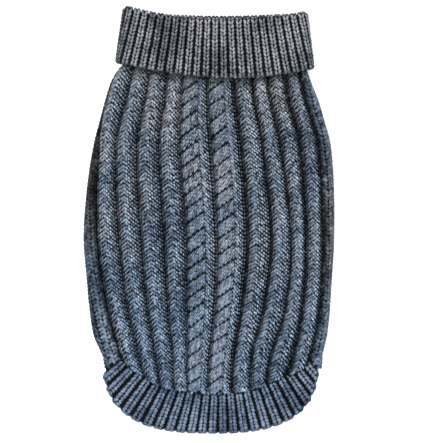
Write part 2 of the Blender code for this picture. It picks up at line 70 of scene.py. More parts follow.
def ease(share):
    """0 to 1 with soft ends."""
    share = np.clip(share, 0, 1)
    return share * share * (3.0 - 2.0 * share)


def mix(start, end, share):
    return start + (end - start) * share


def both(first, second):
    """Two coordinates as arrays of floats of one shape."""
    return np.broadcast_arrays(np.asarray(first, float), np.asarray(second, float))


def unit(vectors):
    return vectors / np.maximum(np.linalg.norm(vectors, axis=-1, keepdims=True), 1e-9)


def jitter(size, shape):
    return HAND.uniform(-size, size, shape)


def lengths_along(points):
    """How far along a polyline each of its points lies."""
    return np.concatenate([[0.0], np.cumsum(np.linalg.norm(np.diff(points, axis=0), axis=1))])


def smooth_through(places, values, place):
    """Values at many places on a smooth curve through a few rows, in rising order."""
    places, values = both(places, values)
    last = len(places) - 1
    low = np.maximum(np.arange(last + 1) - 1, 0)
    high = np.minimum(np.arange(last + 1) + 1, last)
    slopes = (values[high] - values[low]) / (places[high] - places[low])
    place = np.clip(place, places[0], places[-1])
    k = np.clip(np.searchsorted(places, place, side="right") - 1, 0, last - 1)
    width = places[k + 1] - places[k]
    t = (place - places[k]) / width
    return ((2 * t**3 - 3 * t**2 + 1) * values[k]
            + (t**3 - 2 * t**2 + t) * width * slopes[k]
            + (3 * t**2 - 2 * t**3) * values[k + 1]
            + (t**3 - t**2) * width * slopes[k + 1])


# %% [markdown]
# ## The form of the back
# The back is one flat width of cloth with eleven grooves. Its two sides roll under the edge and
# meet the belly. A place on it is given by two lengths: across the cloth and along the garment.
# One function turns such a place into a point in space, so cloth and stitches always agree.

# %% Levels of the layers
WALL = 2.6                # thickness of the plain cloth
RIB_WALL = 2.4
SEAM_GAP = 0.3            # from a wall to its neighbour along a seam
LAYER_GAP = 0.8           # between the upper and the lower layer
RIDGE_RISE = 5.2
CABLE_RISE = 4.4
STRAND_RISE = 2.4
STRAND_PITCH = 9.8        # from one crossing of a cable to the next
STRAND_SLOPE = 0.7
STRAND_END = 0.62         # share of a cable's width that its strands take up
RIDGE_END_SHARE = 0.42    # how much of its rise a ridge keeps at the tail seam
RIDGE_END_LENGTH = 9.0
FOLD_BULGE = 3.2          # rise of the ridge that rolls over each side
EDGE_RIDGE_WIDTH = 14.0
FOLD_ARC_RADIUS = 4.5
NECK_SEAM = 110.0         # heights of seams and rims along the garment
RIM = -90.7
BELLY_SEAM = -64.0
BELLY_RIM = -88.4
UNDER_SEAM_AT_NECK = (-40.0, 46.0)     # how far across they are, left and right
UNDER_SEAM_AT_RIM = (-53.0, 58.0)


def neck_lift(along):
    """How far back and belly rise on the collar's inner layer."""
    return (RIB_WALL + SEAM_GAP) * ease((along - 82.0) / 16.0)


COLLAR_SIDES_AT_EDGE = (-61.7, 70.8)


def sagging(x, left, middle_x, middle, right, sides):
    """Height of an edge that sags from both sides to its lowest place."""
    low = (middle_x - x) / (middle_x - sides[0])
    high = (x - middle_x) / (sides[1] - middle_x)
    return np.where(x < middle_x, mix(middle, left, low * low), mix(middle, right, high * high))


def collar_edge(x):
    """Where the turned-down collar ends on top of the back."""
    return sagging(x, 105.0, 18.0, 93.9, 100.6, COLLAR_SIDES_AT_EDGE)


def top_layer_floor(along):
    """Underside of the upper layer. Behind the belly it sinks to the table."""
    return neck_lift(along) + (WALL + LAYER_GAP) * ease((along + 111.0) / 17.0)


def ridge_share(along):
    """Ridges are drawn flat under the collar."""
    return mix(0.22, 1.0, ease((106.0 - along) / 22.0))


# %% Outline and grooves
OUTLINE_HEIGHTS = (-90.7, -78, -64, -40, -10, 28, 52, 66, 80, 92, 98, 105, 112)
OUTLINE = (
    # how far across the left and the right edge are at each of these heights
    (-70.6, -76.7, -79.2, -81.2, -83.3, -80.2, -76.2, -72.5, -68.8, -64.8, -61.4, -56.6, -54.6),
    (76, 79, 80.7, 82.3, 84, 83.5, 81.3, 77.5, 73.3, 68.4, 66.2, 64.4, 62.4),
)
GROOVE_HEIGHTS = (-108, -89, -60, -13, 50, 80, 112)
GROOVES = (
    # from the left, the distance across of each one at each of the heights above
    (-54, -59, -67, -74, -73, -69, -60),
    (-42, -46.7, -54, -60, -62, -55.3, -47.5),
    (-32.5, -36, -40.7, -45.3, -48, -42.7, -37),
    (-23.3, -24, -27.3, -30, -33.3, -29.3, -26),
    (-14, -14, -14.3, -14.7, -19.3, -18, -15.5),
    (0, 1.3, 4.7, 6, 2, 0, 0.5),
    (15.3, 16.7, 21.3, 25.3, 21.3, 17.3, 15.5),
    (27.3, 28.7, 36, 41.3, 35.3, 30, 27),
    (38, 41.3, 50.7, 54.7, 47.3, 40.7, 37),
    (51, 57.3, 62.7, 65.3, 61.3, 54, 48.5),
    (63, 69, 74.5, 76.7, 73.6, 65.3, 58),
)
CABLES = (4, 5)      # the grooves that have a cable on their right
TAIL_SEAM_ACROSS = (-70.6, -66, -60.5, -53, -43, -30, 0, 27, 45, 62, 69.5, 73, 76)
TAIL_SEAM_HEIGHTS = (-102.2, -98.6, -94.4, -98.4, -105, -112.6, -116.7, -115, -108,
                     -100.6, -94.8, -98.6, -102)
SHIFT_HEIGHTS = (-100, -80, -50, -25, 0, 27, 46, 78)
STRAND_SHIFTS = (3, 4.3, 4, 4.6, 3.8, 5, 5.6, 3.4)     # how far crossings lie below even spacing
LEFT_SEAM, LEFT_ROLL_END, FIRST_GROOVE = 0, 1, 2     # numbers of the back's lines
RIGHT_ROLL_END = FIRST_GROOVE + len(GROOVES)
RIGHT_SEAM = RIGHT_ROLL_END + 1


def outline_side(along, side):
    return smooth_through(OUTLINE_HEIGHTS, OUTLINE[side], along)


def under_seam(along, side):
    return mix(UNDER_SEAM_AT_RIM[side], UNDER_SEAM_AT_NECK[side], (along - RIM) / (NECK_SEAM - RIM))


def fold_centre(along, side):
    """Plan position from which the cloth rolls under, side 0 left and 1 right."""
    reach = (WALL + LAYER_GAP) / 2 + WALL / 2 + FOLD_BULGE * ridge_share(along)
    return outline_side(along, side) + (reach if side == 0 else -reach)


def groove(index, along):
    return smooth_through(GROOVE_HEIGHTS, GROOVES[index], along)


def back_line(index, along):
    """Distance across of the back's lines: under seam, end of the left roll, the grooves, end
    of the right roll, under seam."""
    if LEFT_ROLL_END < index < RIGHT_ROLL_END:
        return groove(index - FIRST_GROOVE, along)
    side, sign = SIDES[index > LEFT_ROLL_END]
    centre = fold_centre(along, side)
    roll_end = centre + sign * math.pi * FOLD_ARC_RADIUS
    if index in (LEFT_ROLL_END, RIGHT_ROLL_END):
        return roll_end
    return roll_end + sign * np.abs(centre - under_seam(along, side))


def between(line, share, along):
    """Distance across of a place between a line of the back and the next one."""
    return mix(back_line(line, along), back_line(line + 1, along), share)


def past_grooves(across, along):
    """How far a place lies beyond the first and beyond the last groove."""
    return groove(0, along) - across, across - groove(-1, along)


def ridges(across, along):
    """For each ridge: its number, a place's share of its width, how far the place lies from the
    ridge's left groove, and whether it is on the ridge at all."""
    lines = [groove(k, along) for k in range(len(GROOVES))]
    for k, (left, right) in enumerate(zip(lines, lines[1:])):
        share = (across - left) / (right - left)
        yield k, share, across - left, (share >= 0.0) & (share < 1.0)


def tail_seam(x):
    return smooth_through(TAIL_SEAM_ACROSS, TAIL_SEAM_HEIGHTS, x)


# %% Rise of ridges and cables
def roll(share):
    """Cross-section of a ridge, 0 in its grooves and 1 on its crest."""
    return np.maximum(1.0 - np.abs(2.0 * share - 1.0) ** 2.4, 0.0) ** 0.6


def strand_phase(across_cable, along):
    """How many crossings lie below a place of a cable."""
    shift = smooth_through(SHIFT_HEIGHTS, STRAND_SHIFTS, along)
    return (along + shift - STRAND_SLOPE * across_cable) / STRAND_PITCH


def strand(share, across_cable, along):
    """Height of the crossing strands of a cable above its roll."""
    phase = strand_phase(across_cable, along)
    belly = np.abs(np.sin(math.pi * phase)) ** 0.6
    side = np.minimum(ease(share / 0.12), ease((STRAND_END + 0.1 - share) / 0.14))
    return STRAND_RISE * belly * side


def back_rise(across, along):
    """Height of ridges and cables above the plain wall."""
    height = RIDGE_RISE * roll(np.maximum(*past_grooves(across, along)) / EDGE_RIDGE_WIDTH)
    for k, share, distance, here in ridges(across, along):
        rise = (CABLE_RISE if k in CABLES else RIDGE_RISE) * roll(share)
        if k in CABLES:
            rise = rise + strand(share, distance, along) * ridge_share(along)
        height = np.where(here, rise, height)
    for side, sign in SIDES:
        turn = (across - fold_centre(along, side)) * sign / FOLD_ARC_RADIUS
        onto_edge = ease(turn / math.radians(65))
        off_edge = 1.0 - ease((turn - math.radians(95)) / math.radians(75))
        height = np.where(turn > 0.0, mix(height, FOLD_BULGE, onto_edge) * off_edge, height)
    return height * ridge_share(along)


def back_surface(across, along, depth):
    """Points of the back at a depth below its outer surface."""
    across, along = both(across, along)
    top = top_layer_floor(along) + WALL / 2
    bottom = neck_lift(along) + WALL / 2
    radius = (top - bottom) / 2
    x, z, out_x, out_z = across, top, np.zeros_like(top), np.ones_like(top)
    for side, sign in SIDES:
        centre = fold_centre(along, side)
        past = (across - centre) * sign
        turn = np.clip(past / FOLD_ARC_RADIUS, 0.0, math.pi)
        inward = np.maximum(past - math.pi * FOLD_ARC_RADIUS, 0.0)
        rolled = past > 0.0
        x = np.where(rolled, centre + sign * (radius * np.sin(turn) - inward), x)
        z = np.where(rolled, (top + bottom) / 2 + radius * np.cos(turn), z)
        out_x = np.where(rolled, sign * np.sin(turn), out_x)
        out_z = np.where(rolled, np.cos(turn), out_z)
    end_share = mix(RIDGE_END_SHARE, 1.0, ease((along - tail_seam(x)) / RIDGE_END_LENGTH))
    end_share = mix(1.0, end_share, ease((out_z - 0.2) / 0.6))
    away = WALL / 2 + back_rise(across, along) * end_share - depth
    return np.stack([x + out_x * away, along, z + out_z * away], -1)


print("across the back, mm:", np.round(back_line(RIGHT_SEAM, 0.0) - back_line(LEFT_SEAM, 0.0), 1))

# %% [markdown]
# ## The yarn
# The real yarn is a wool and acrylic blend, spun from fibres of several blues and greys before it
# is plied. That is called heather. It is matt, with a faint sheen of loose fibres. The shade where
# it dips between its neighbours is painted into its colour. So each stitch carries three numbers
# as an attribute: its own shade among the fibres, a painted light that is brightest on the top of
# each leg and dark in the gaps, and a painted shade for grooves, strand crossings, edges and the
# collar's shadow. The material mixes the fibre colours from these, and from soft clouds in the
# cloth.

# %% Colours and nodes
def linear(hex_colour):
    """An sRGB hex colour as linear red, green, blue and alpha."""
    parts = [int(hex_colour[i:i + 2], 16) / 255 for i in (1, 3, 5)]
    return [c / 12.92 if c <= 0.04045 else ((c + 0.055) / 1.055) ** 2.4 for c in parts] + [1.0]


def add_node(tree, kind, settings=(), links=()):
    """Adds a node. Settings are attributes or input values, links are (input, output socket)."""
    node = tree.nodes.new(kind)
    for key, value in dict(settings).items():
        if isinstance(key, str) and hasattr(node, key):
            setattr(node, key, value)
        else:
            node.inputs[key].default_value = value
    for key, socket in dict(links).items():
        tree.links.new(socket, node.inputs[key])
    return node


CLOUD_SIZE = 26.0      # patches of one fibre colour in the cloth
FIBRE_SIZE = 0.55      # tufts of fibre on the yarn, drawn coarser than a fibre so that they show
FIBRE_RELIEF = 0.12
FIBRE_CONTRAST = 0.35
GAP_SHADE = 0.01       # painted shade: how light the yarn is deep between its neighbours
NECK_LIGHT_TINT = linear("#fff7ee")    # painted tint of the light: greyer at the neck
TAIL_LIGHT_TINT = linear("#eef8ff")    # and bluer at the tail
# heights between which the painted light tint turns from the neck's to the tail's
LIGHT_TINT_ENDS = (95.0, -75.0)


def new_material(name, settings):
    """A material and its main shader, with some inputs set."""
    material = bpy.data.materials.new(name)
    material.use_nodes = True
    shader = material.node_tree.nodes["Principled BSDF"]
    for key, value in settings.items():
        shader.inputs[key].default_value = value
    return material, shader


def heather_yarn(name, shades, brightness):
    """Matt plied yarn. Shades are hex colours from the darkest fibre to the lightest."""
    material, shader = new_material(name, {"Roughness": 0.95, "Specular IOR Level": 0.04,
                                           "Sheen Weight": 0.02, "Sheen Roughness": 0.6})
    tree = material.node_tree

    def split(socket):
        return add_node(tree, "ShaderNodeSeparateXYZ", links={0: socket}).outputs

    def noise(size, detail):
        return add_node(tree, "ShaderNodeTexNoise", {"Scale": 1 / (size * MM), "Detail": detail},
                        {"Vector": place}).outputs["Fac"]

    def ranged(socket, low, high, first, last):
        """Low to high becomes first to last."""
        return add_node(tree, "ShaderNodeMapRange", {1: low, 2: high, 3: first, 4: last},
                        {0: socket}).outputs[0]

    def joined(operation, first, second, kind="ShaderNodeMath"):
        return add_node(tree, kind, {"operation": operation}, {0: first, 1: second}).outputs[0]

    place = add_node(tree, "ShaderNodeTexCoord").outputs["Object"]
    # The attribute holds the stitch's own tint, its painted light (proud) and its painted shade.
    tint, proud, painted_dimness = split(
        add_node(tree, "ShaderNodeAttribute", {"attribute_name": "stitch"}).outputs["Vector"])
    clouds, fibres = noise(CLOUD_SIZE, 2.0), noise(FIBRE_SIZE, 3.0)

    mixed = joined("ADD", tint, ranged(clouds, 0.35, 0.65, -0.3, 0.3))
    mixed = joined("ADD", mixed, ranged(fibres, 0.3, 0.7, -0.2, 0.2))
    ramp = add_node(tree, "ShaderNodeValToRGB", links={"Fac": mixed})
    stops = ramp.color_ramp.elements
    while len(stops) < len(shades):
        stops.new(0.5)
    for number, (stop, colour) in enumerate(zip(stops, shades)):
        stop.position = number / (len(shades) - 1)
        stop.color = [value * brightness for value in linear(colour)[:3]] + [1.0]
    # Painted tint of the light, greyer towards the neck and bluer towards the tail.
    tail_share = ranged(split(place)["Y"], LIGHT_TINT_ENDS[0] * MM, LIGHT_TINT_ENDS[1] * MM, 0.0, 1.0)
    painted_light_tint = add_node(tree, "ShaderNodeMix", {"data_type": "RGBA", 6: NECK_LIGHT_TINT, 7: TAIL_LIGHT_TINT},
                    {0: tail_share})
    light_tinted = joined("MULTIPLY", ramp.outputs["Color"], painted_light_tint.outputs[2], "ShaderNodeVectorMath")

    # The painted light and the painted shade darken the colour.
    light = joined("MULTIPLY", ranged(proud, 0.3, 0.95, GAP_SHADE, 1.0),
                   ranged(painted_dimness, -1.0, 1.0, 2.0, 0.0))
    light = joined("MULTIPLY", light,
                   ranged(fibres, 0.3, 0.7, 1 - FIBRE_CONTRAST, 1 + FIBRE_CONTRAST))
    lit = add_node(tree, "ShaderNodeVectorMath", {"operation": "SCALE"}, {0: light_tinted, "Scale": light})
    tree.links.new(lit.outputs[0], shader.inputs["Base Color"])
    bump = add_node(tree, "ShaderNodeBump", {"Strength": 0.5, "Distance": FIBRE_RELIEF * MM},
                    {"Height": fibres})
    tree.links.new(bump.outputs["Normal"], shader.inputs["Normal"])
    return material


BODY_SHADES = ("#535d72", "#6a7a91", "#8797ab", "#94a3b3", "#9f9fb0")
COLLAR_SHADES = ("#6f665f", "#525a66", "#6c7582", "#8892a1", "#959fad", "#9d9fae")   # warm first, for the painted warm light at the collar's left side
HEM_SHADES = ("#4f5b6f", "#677589", "#8391a6", "#909db0", "#9a9cae")
EDGE_SHADES = ("#4e4f54", "#63656c", "#7e8189", "#8c8f96", "#98969b")
body_yarn = heather_yarn("body_heather_yarn", BODY_SHADES, 1.14)
collar_yarn = heather_yarn("collar_heather_yarn", COLLAR_SHADES, 1.3)
edge_yarn = heather_yarn("edge_heather_yarn", EDGE_SHADES, 1.14)
hem_yarn = heather_yarn("hem_heather_yarn", HEM_SHADES, 1.08)

# %% [markdown]
# ## A closed thin shell
# Under the stitches the cloth is a thin sheet with two sides. Blender's Solidify would push its
# sides through each other in the narrow grooves, so both sides are computed from the same form at
# two depths, and joined round the rim.

# %% Meshes
def make_piece(name, points, faces, material, facts):
    """A mesh object at the origin, from points in millimetres, riding on the part's body."""
    mesh = bpy.data.meshes.new(name)
    points = (np.asarray(points, float).reshape(-1, 3) - PLAN_MIDDLE) * MM
    mesh.from_pydata(points.tolist(), [], faces)
    attribute = mesh.attributes.new("stitch", "FLOAT_VECTOR", "POINT")
    attribute.data.foreach_set("vector", np.asarray(facts, np.float32).ravel())
    mesh.materials.append(material)
    mesh.shade_smooth()
    piece = bpy.data.objects.new(name, mesh)
    bpy.context.scene.collection.objects.link(piece)
    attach(piece, "root")
    return piece


GAP_PAINTED_LIGHT = 0.315         # painted shade: how light the shell is where it shows between stitches
REVERSE_PAINTED_LIGHT = 0.6       # and the painted light on its reverse, which has no stitches on it


def closed_shell(name, outer, inner, material, slot, reverse_painted_light=REVERSE_PAINTED_LIGHT, ring=False):
    """A thin closed shell from two grids of points, the outer side and the inner side. In a ring
    the last column is joined to the first one."""
    rows, columns = outer.shape[:2]
    count = rows * columns
    number = np.arange(count).reshape(rows, columns)
    if ring:
        number = np.concatenate([number, number[:, :1]], 1)
        rims = (number[0], number[-1])
    else:
        rims = (np.concatenate([number[0], number[1:, -1], number[-1, -2::-1], number[-2::-1, 0]]),)
    side = np.stack([number[:-1, :-1], number[:-1, 1:], number[1:, 1:], number[1:, :-1]], -1)
    side = side.reshape(-1, 4)
    walls = [np.stack([rim[:-1], rim[1:], rim[1:] + count, rim[:-1] + count], 1) for rim in rims]
    faces = np.concatenate([side, side + count, *walls]).tolist()
    # The outer side is painted dark as the shade between stitches, the inner side in a lighter
    # painted shade.
    facts = np.repeat(((0.5, GAP_PAINTED_LIGHT, 0.0), (0.5, reverse_painted_light, 0.3)), count, axis=0)
    piece = make_piece(name, np.concatenate([outer, inner]), faces, material, facts)
    shape = bmesh.new()
    shape.from_mesh(piece.data)
    bmesh.ops.recalc_face_normals(shape, faces=shape.faces)
    shape.to_mesh(piece.data)
    shape.free()
    return piece


# %% [markdown]
# ## One leg of a stitch
# A knitted stitch shows two legs of yarn that lean together. Each leg is a plump spindle: thick in
# its middle, thin where it dives under its neighbours. It is modelled once, from a sphere with few
# faces, and then laid thousands of times. The six sides are plenty at this size.

# %% The leg
bpy.ops.object.select_all(action="DESELECT")
bpy.ops.mesh.primitive_uv_sphere_add(segments=6, ring_count=4, radius=1.0,
                                     rotation=(0.0, math.pi / 2, 0.0))
leg = bpy.context.object
bpy.ops.object.transform_apply(location=False, rotation=True, scale=False)
END_PLUMPNESS = 1.14      # the two end rings are opened a little, so that the leg isn't pointed
for vertex in leg.data.vertices:
    if abs(vertex.co.x) < 0.9:
        plump = mix(1.0, END_PLUMPNESS, min(abs(vertex.co.x) / 0.7, 1.0))
        vertex.co.y *= plump
        vertex.co.z *= plump
LEG_POINTS = np.array([vertex.co for vertex in leg.data.vertices])
LEG_FACES = [list(face.vertices) for face in leg.data.polygons]
bpy.data.objects.remove(leg)
NARROWEST_LEG = 0.42      # as a share of a row
TINT_SPREAD = 0.4         # by how many shades neighbouring stitches differ, at unevenness 1
# Painted light on a leg: brightest on its top, darker down its sides and towards its ends, where it
# dips between its neighbours.
LEG_PAINTED_LIGHT = (0.5 + 0.5 * LEG_POINTS[:, 2]) * (1 - 0.15 * LEG_POINTS[:, 0] ** 4)
LEG_TRIANGLES = sum(len(face) - 2 for face in LEG_FACES)
print("one leg:", len(LEG_POINTS), "points,", LEG_TRIANGLES, "triangles")


class Yarn:
    """Legs of yarn, gathered as arrays and then made into one mesh."""

    def __init__(self):
        self.points = []
        self.facts = []

    def lay(self, surface, start, end, steps=(0.6, 0.6), width=None, shade=0.0, bow=0.0,
            soft=0.0, tint=0.5, uneven=0.28, raised=0.0):
        """Lays one leg for each start and end. Each is a pair of arrays, the two coordinates that
        surface(first, second, depth) takes. Shade is the painted shade, a number or a function of
        both.
        Without a width a leg is as wide as its column of rows leaves it. Bow bends it sideways,
        soft takes painted shade out of the gaps beside it, tint is its place among the yarn's
        shades, uneven is how much one leg differs from the next in tint and brightness, and raised
        lifts the leg."""
        start, end = (np.stack(both(*place), -1).reshape(-1, 2) for place in (start, end))
        middle = (start + end) / 2
        count = len(start)

        def at(places, depth, first_step=0.0, second_step=0.0):
            return surface(places[:, 0] + first_step, places[:, 1] + second_step, depth)

        tip, foot = at(end, LEG_DEPTH_ENDS - raised), at(start, LEG_DEPTH_ENDS - raised)
        top = at(middle, LEG_DEPTH_MIDDLE - raised)
        across = at(middle, 1.0, steps[0]) - at(middle, 1.0, -steps[0])
        along = unit(at(middle, 1.0, 0.0, steps[1]) - at(middle, 1.0, 0.0, -steps[1]))
        normal = unit(np.cross(across, along))
        outward = at(middle, 0.0) - at(middle, 1.0)
        normal = normal * np.sign(np.sum(normal * outward, axis=1))[:, None]
        chord = tip - foot
        length = np.linalg.norm(chord, axis=1)
        direction = chord / length[:, None]
        sideways = unit(np.cross(normal, direction))
        upwards = np.cross(direction, sideways)
        if width is None:
            width = np.linalg.norm(np.cross(direction, along), axis=1)
            width = ROW * np.clip(width, NARROWEST_LEG, 1.0)
        half_width = 0.5 * width * YARN_FULLNESS * HAND.uniform(0.88, 1.1, count)
        half_height = YARN_HALF_HEIGHT * HAND.uniform(0.88, 1.0, count)
        top = top + sideways * ((bow + HAND.uniform(-0.05, 0.05, count)) * length)[:, None]

        t = (LEG_POINTS[:, 0] + 1) / 2
        parts = np.stack([(1 - t) * (1 - 2 * t), 4 * t * (1 - t), t * (2 * t - 1)])
        path = np.einsum("pk,pnc->nkc", parts, np.stack([foot, top, tip]))
        path += np.einsum("n,k,nc->nkc", half_width, LEG_POINTS[:, 1], sideways)
        path += np.einsum("n,k,nc->nkc", half_height, LEG_POINTS[:, 2], upwards)
        facts = np.zeros((count, len(LEG_POINTS), 3))
        facts[:, :, 0] = HAND.normal(tint, TINT_SPREAD * uneven, count)[:, None]
        brightness = HAND.uniform(0.9 - uneven, 0.9 + uneven, count)
        # painted light of the leg, with the dark taken out by soft, times the leg's own random
        # brightness
        facts[:, :, 1] = mix(LEG_PAINTED_LIGHT, 0.8, soft) * brightness[:, None]
        # painted shade along the leg, a little deeper or shallower from leg to leg
        if callable(shade):
            ends = np.stack([shade(place[:, 0], place[:, 1]) for place in (start, middle, end)])
            light = np.clip(1 - np.einsum("pk,pn->nk", parts, ends), 0.0, 2.0)
            facts[:, :, 2] = 1 - light ** HAND.uniform(0.6, 1.5, count)[:, None]
        else:
            facts[:, :, 2] = shade
        self.points.append(path.reshape(-1, 3))
        self.facts.append(facts.reshape(-1, 3))

    def finish(self, name, material=body_yarn, slot="body_knit"):
        points = np.concatenate(self.points)
        count = len(points) // len(LEG_POINTS)
        faces = [[corner + number * len(LEG_POINTS) for corner in face]
                 for number in range(count) for face in LEG_FACES]
        piece = make_piece(name, points, faces, material, np.concatenate(self.facts))
        print(f"{name}: {count} legs, {count * LEG_TRIANGLES} triangles")
        return piece


# %% [markdown]
# ## The back's shell
# Columns of points run where the ridges need them: close together on steep flanks, further apart
# on the plain underside. The rear end of each column follows the curved tail seam.

# %% Shell of the back
def faces_down(across, along):
    past = np.maximum(fold_centre(along, 0) - across, across - fold_centre(along, 1))
    return past > FOLD_ARC_RADIUS * math.pi / 2


def rear_end(line_share):
    """Height at which columns of the back meet the rear edge, found in a few rounds."""
    rear = np.full(len(line_share), RIM)
    for _ in range(12):
        across = column_across(line_share, rear)
        rear_x = back_surface(across, rear, 0.0)[:, 0]
        rear = np.where(faces_down(across, rear), RIM, np.minimum(tail_seam(rear_x), RIM))
    return rear


def column_across(line_share, along):
    """Distance across of columns given as line number plus share of the way to the next."""
    result = np.zeros(len(line_share))
    for index in range(RIGHT_SEAM):
        here = (line_share >= index) & (line_share <= index + 1)
        result = np.where(here, between(index, line_share - index, along), result)
    return result


SHELL_OVERLAP = 0.5       # the shells of back and tail rib pass each other by this at their seam
CORNER_OVERLAP = 2.4      # and by this beyond the fan's first and last rib
BACK_REVERSE_DEPTH = 2.7  # inner side of the back's shell below the outer surface
UNDER_STEPS, RIDGE_STEPS = 6, 14     # columns of points in each strip of the shell
strips = [UNDER_STEPS] + [RIDGE_STEPS] * (RIGHT_ROLL_END - 1) + [UNDER_STEPS]
shell_columns = np.concatenate([line + np.arange(count) / count
                                for line, count in enumerate(strips)] + [[RIGHT_SEAM]])
shell_rear = rear_end(shell_columns)
rear_x = back_surface(column_across(shell_columns, shell_rear), shell_rear, 0.0)[:, 0]
in_corner = np.maximum(ease((-56.0 - rear_x) / 4.0), ease((rear_x - 65.0) / 4.0))
shell_rear = shell_rear - mix(SHELL_OVERLAP, CORNER_OVERLAP, in_corner)
SHELL_ROWS = 72
shell_along = [mix(NECK_SEAM - SEAM_GAP, shell_rear, step)
               for step in np.linspace(0.0, 1.0, SHELL_ROWS)]
shell_across = [column_across(shell_columns, along) for along in shell_along]
back_knit = closed_shell("back_knit", back_surface(shell_across, shell_along, SHELL_DEPTH),
                         back_surface(shell_across, shell_along, BACK_REVERSE_DEPTH),
                         body_yarn, "body_knit")
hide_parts("back_panel")
print("back shell:", len(back_knit.data.polygons), "faces")

# %% [markdown]
# ## Rope ridges
# Each ridge is three columns of stitches wide. The middle column makes the herringbone on the
# crest, the two others lie on its flanks, and a purl column sinks into the groove. The cloth is
# knitted from the neck down, so the legs of a stitch meet at its upper end.

# %% Stitches of the ridges
ROPE_LEGS = (
    # foot and tip as shares of the ridge's width, climb, rows lower, width, softness, tint
    (0.05, 0.14, 2.8, 0, 2, 0.5, 0.64),
    (0.14, 0.27, 2.9, 0.3, None, 0.45, 0.62),
    (0.25, 0.43, 2.9, 0.75, None, 0.3, 0.58),
    (0.51, 0.39, 2.4, 0.4, 1.9, 0.2, 0.5),
    (0.61, 0.52, 2.1, 0.9, 1.6, 0.1, 0.5),
    (0.71, 0.63, 2, 0.4, 1.5, 0.05, 0.5),
    (0.80, 0.73, 1.9, 0.9, 1.4, 0, 0.5),
    (0.90, 0.82, 1.8, 0.4, 1.4, -0.05, 0.5),
)
EDGE_CLEARANCE = 0.2      # rows end this far above the tail seam
SHORTEST_ROW = 0.3 * ROW  # of what is left at the end of a column
FOOT_JITTER, TIP_JITTER, SIDE_JITTER = 0.35, 0.4, 0.28
PLAIN_CLIMB = 3.0         # of a leg of stocking stitch
LIGHT_SHARES = np.round(np.linspace(0.0, 1.0, 13), 3)
LIGHT_ON_RIDGES = (
    # painted light and shade across a ridge, at these shares of its width: left of the cables,
    # right of them, beyond the second ridge to the right, and on a cable
    (0.12, 0.12, 0.46, 1.05, 0.85, 0.88, 1.3, 1.3, 1.25, 1.12, 0.95, 0.7, 0.1),
    (0.01, 0.05, 0.16, 0.68, 0.78, 0.76, 1.12, 1.08, 1.35, 1.45, 1.3, 0.85, 0.25),
    (0.03, 0.09, 0.2, 0.76, 0.82, 0.78, 0.98, 1.2, 1.4, 1.2, 0.36, 0.16, 0.07),
    (0.06, 0.55, 0.92, 1.1, 0.9, 0.9, 1, 1.05, 1.32, 1.36, 1.2, 0.86, 0.08),
)
FAR_RIGHT_RIDGES = 3      # so many grooves from the right end are beyond the second ridge
LIGHT_HEIGHTS = (-86, -73, -60, -46, -33, -20, -7, 7, 20, 33, 47, 60, 76)
LIGHT_ON_EDGES = (
    # painted light on the rolled edges at these heights: left on top and at the side, right
    # likewise
    ((0.95, 0.75, 0.8, 0.75, 0.72, 0.75, 0.5, 0.15, 0.18, 0.3, 0.6, 0.45, 0.75),
     (0.42, 0.24, 0.26, 0.5, 0.42, 0.45, 0.42, 0.5, 0.28, 0.2, 0.2, 0.4, 0.7)),
    ((0.8, 0.8, 0.6, 0.5, 0.4, 0.4, 0.3, 0.35, 0.65, 0.9, 0.9, 0.9, 1),
     (0.9, 0.85, 0.75, 0.85, 0.85, 0.85, 0.8, 0.85, 0.75, 0.75, 0.8, 0.9, 1)),
)
# painted light on the flat underside, past the rolled edges
LIGHT_UNDERNEATH = 0.8
TAIL_SHADE_LENGTH = 10.0       # over which painted shade deepens beside the grooves towards the tail rib
TAIL_SHADE_POWER = 0.6         # and by how much
COLLAR_SHADOW = 0.5       # painted shadow: how light the back is just below the collar's edge
COLLAR_SHADOW_LENGTH = 8.0
CROSSING_WIDTH = 0.5      # of the painted dark line between two strands, as a sine of the phase
CROSSING_SHADE_AT_ENDS = (1.5, 0.7)       # how much more of that painted shade there is round a strand's two ends
CROSSING_LIGHT = 0.02


def back_shade(across, along):
    """How much painted shade a place of the back gets, from 0 on the crests to 1 in grooves and
    under strands.
    """
    light = np.ones(len(across))
    for k, share, distance, here in ridges(across, along):
        is_far_right = k >= len(GROOVES) - FAR_RIGHT_RIDGES
        kind = 3 if k in CABLES else 0 if k < CABLES[0] else 2 if is_far_right else 1
        ridge_light = np.interp(share, LIGHT_SHARES, LIGHT_ON_RIDGES[kind])
        if k in CABLES:
            width = CROSSING_WIDTH
            for more, from_end in zip(CROSSING_SHADE_AT_ENDS, (share / 0.2, (STRAND_END - share) / 0.12)):
                width = width + more * np.clip(1 - from_end, 0, 1) ** 2
            crossing = ease(np.abs(np.sin(math.pi * strand_phase(distance, along))) / width)
            crossing = mix(CROSSING_LIGHT, 1.0, crossing)
            crossing = np.minimum(ridge_light, crossing)
            ridge_light = np.where(share < STRAND_END, crossing, ridge_light)
        light = np.where(here, ridge_light, light)
    for side, past in enumerate(past_grooves(across, along)):
        on_top, at_side = (np.interp(along, LIGHT_HEIGHTS, row) for row in LIGHT_ON_EDGES[side])
        turned = (fold_centre(along, side) - across) * (1 - 2 * side) / FOLD_ARC_RADIUS
        edge_light = mix(0.1, mix(on_top, at_side, ease(turned / 0.6)), ease((past - 0.6) / 2.6))
        edge_light = mix(edge_light, LIGHT_UNDERNEATH, ease((past - 20.0) / 10.0))
        light = np.where(past > 0.0, edge_light, light)
    near_tail = 1 - ease((along - tail_seam(across)) / TAIL_SHADE_LENGTH)
    below_collar = ease((collar_edge(across) - along) / COLLAR_SHADOW_LENGTH)
    return 1 - light ** (1 + TAIL_SHADE_POWER * near_tail) * mix(COLLAR_SHADOW, 1.0, below_collar)


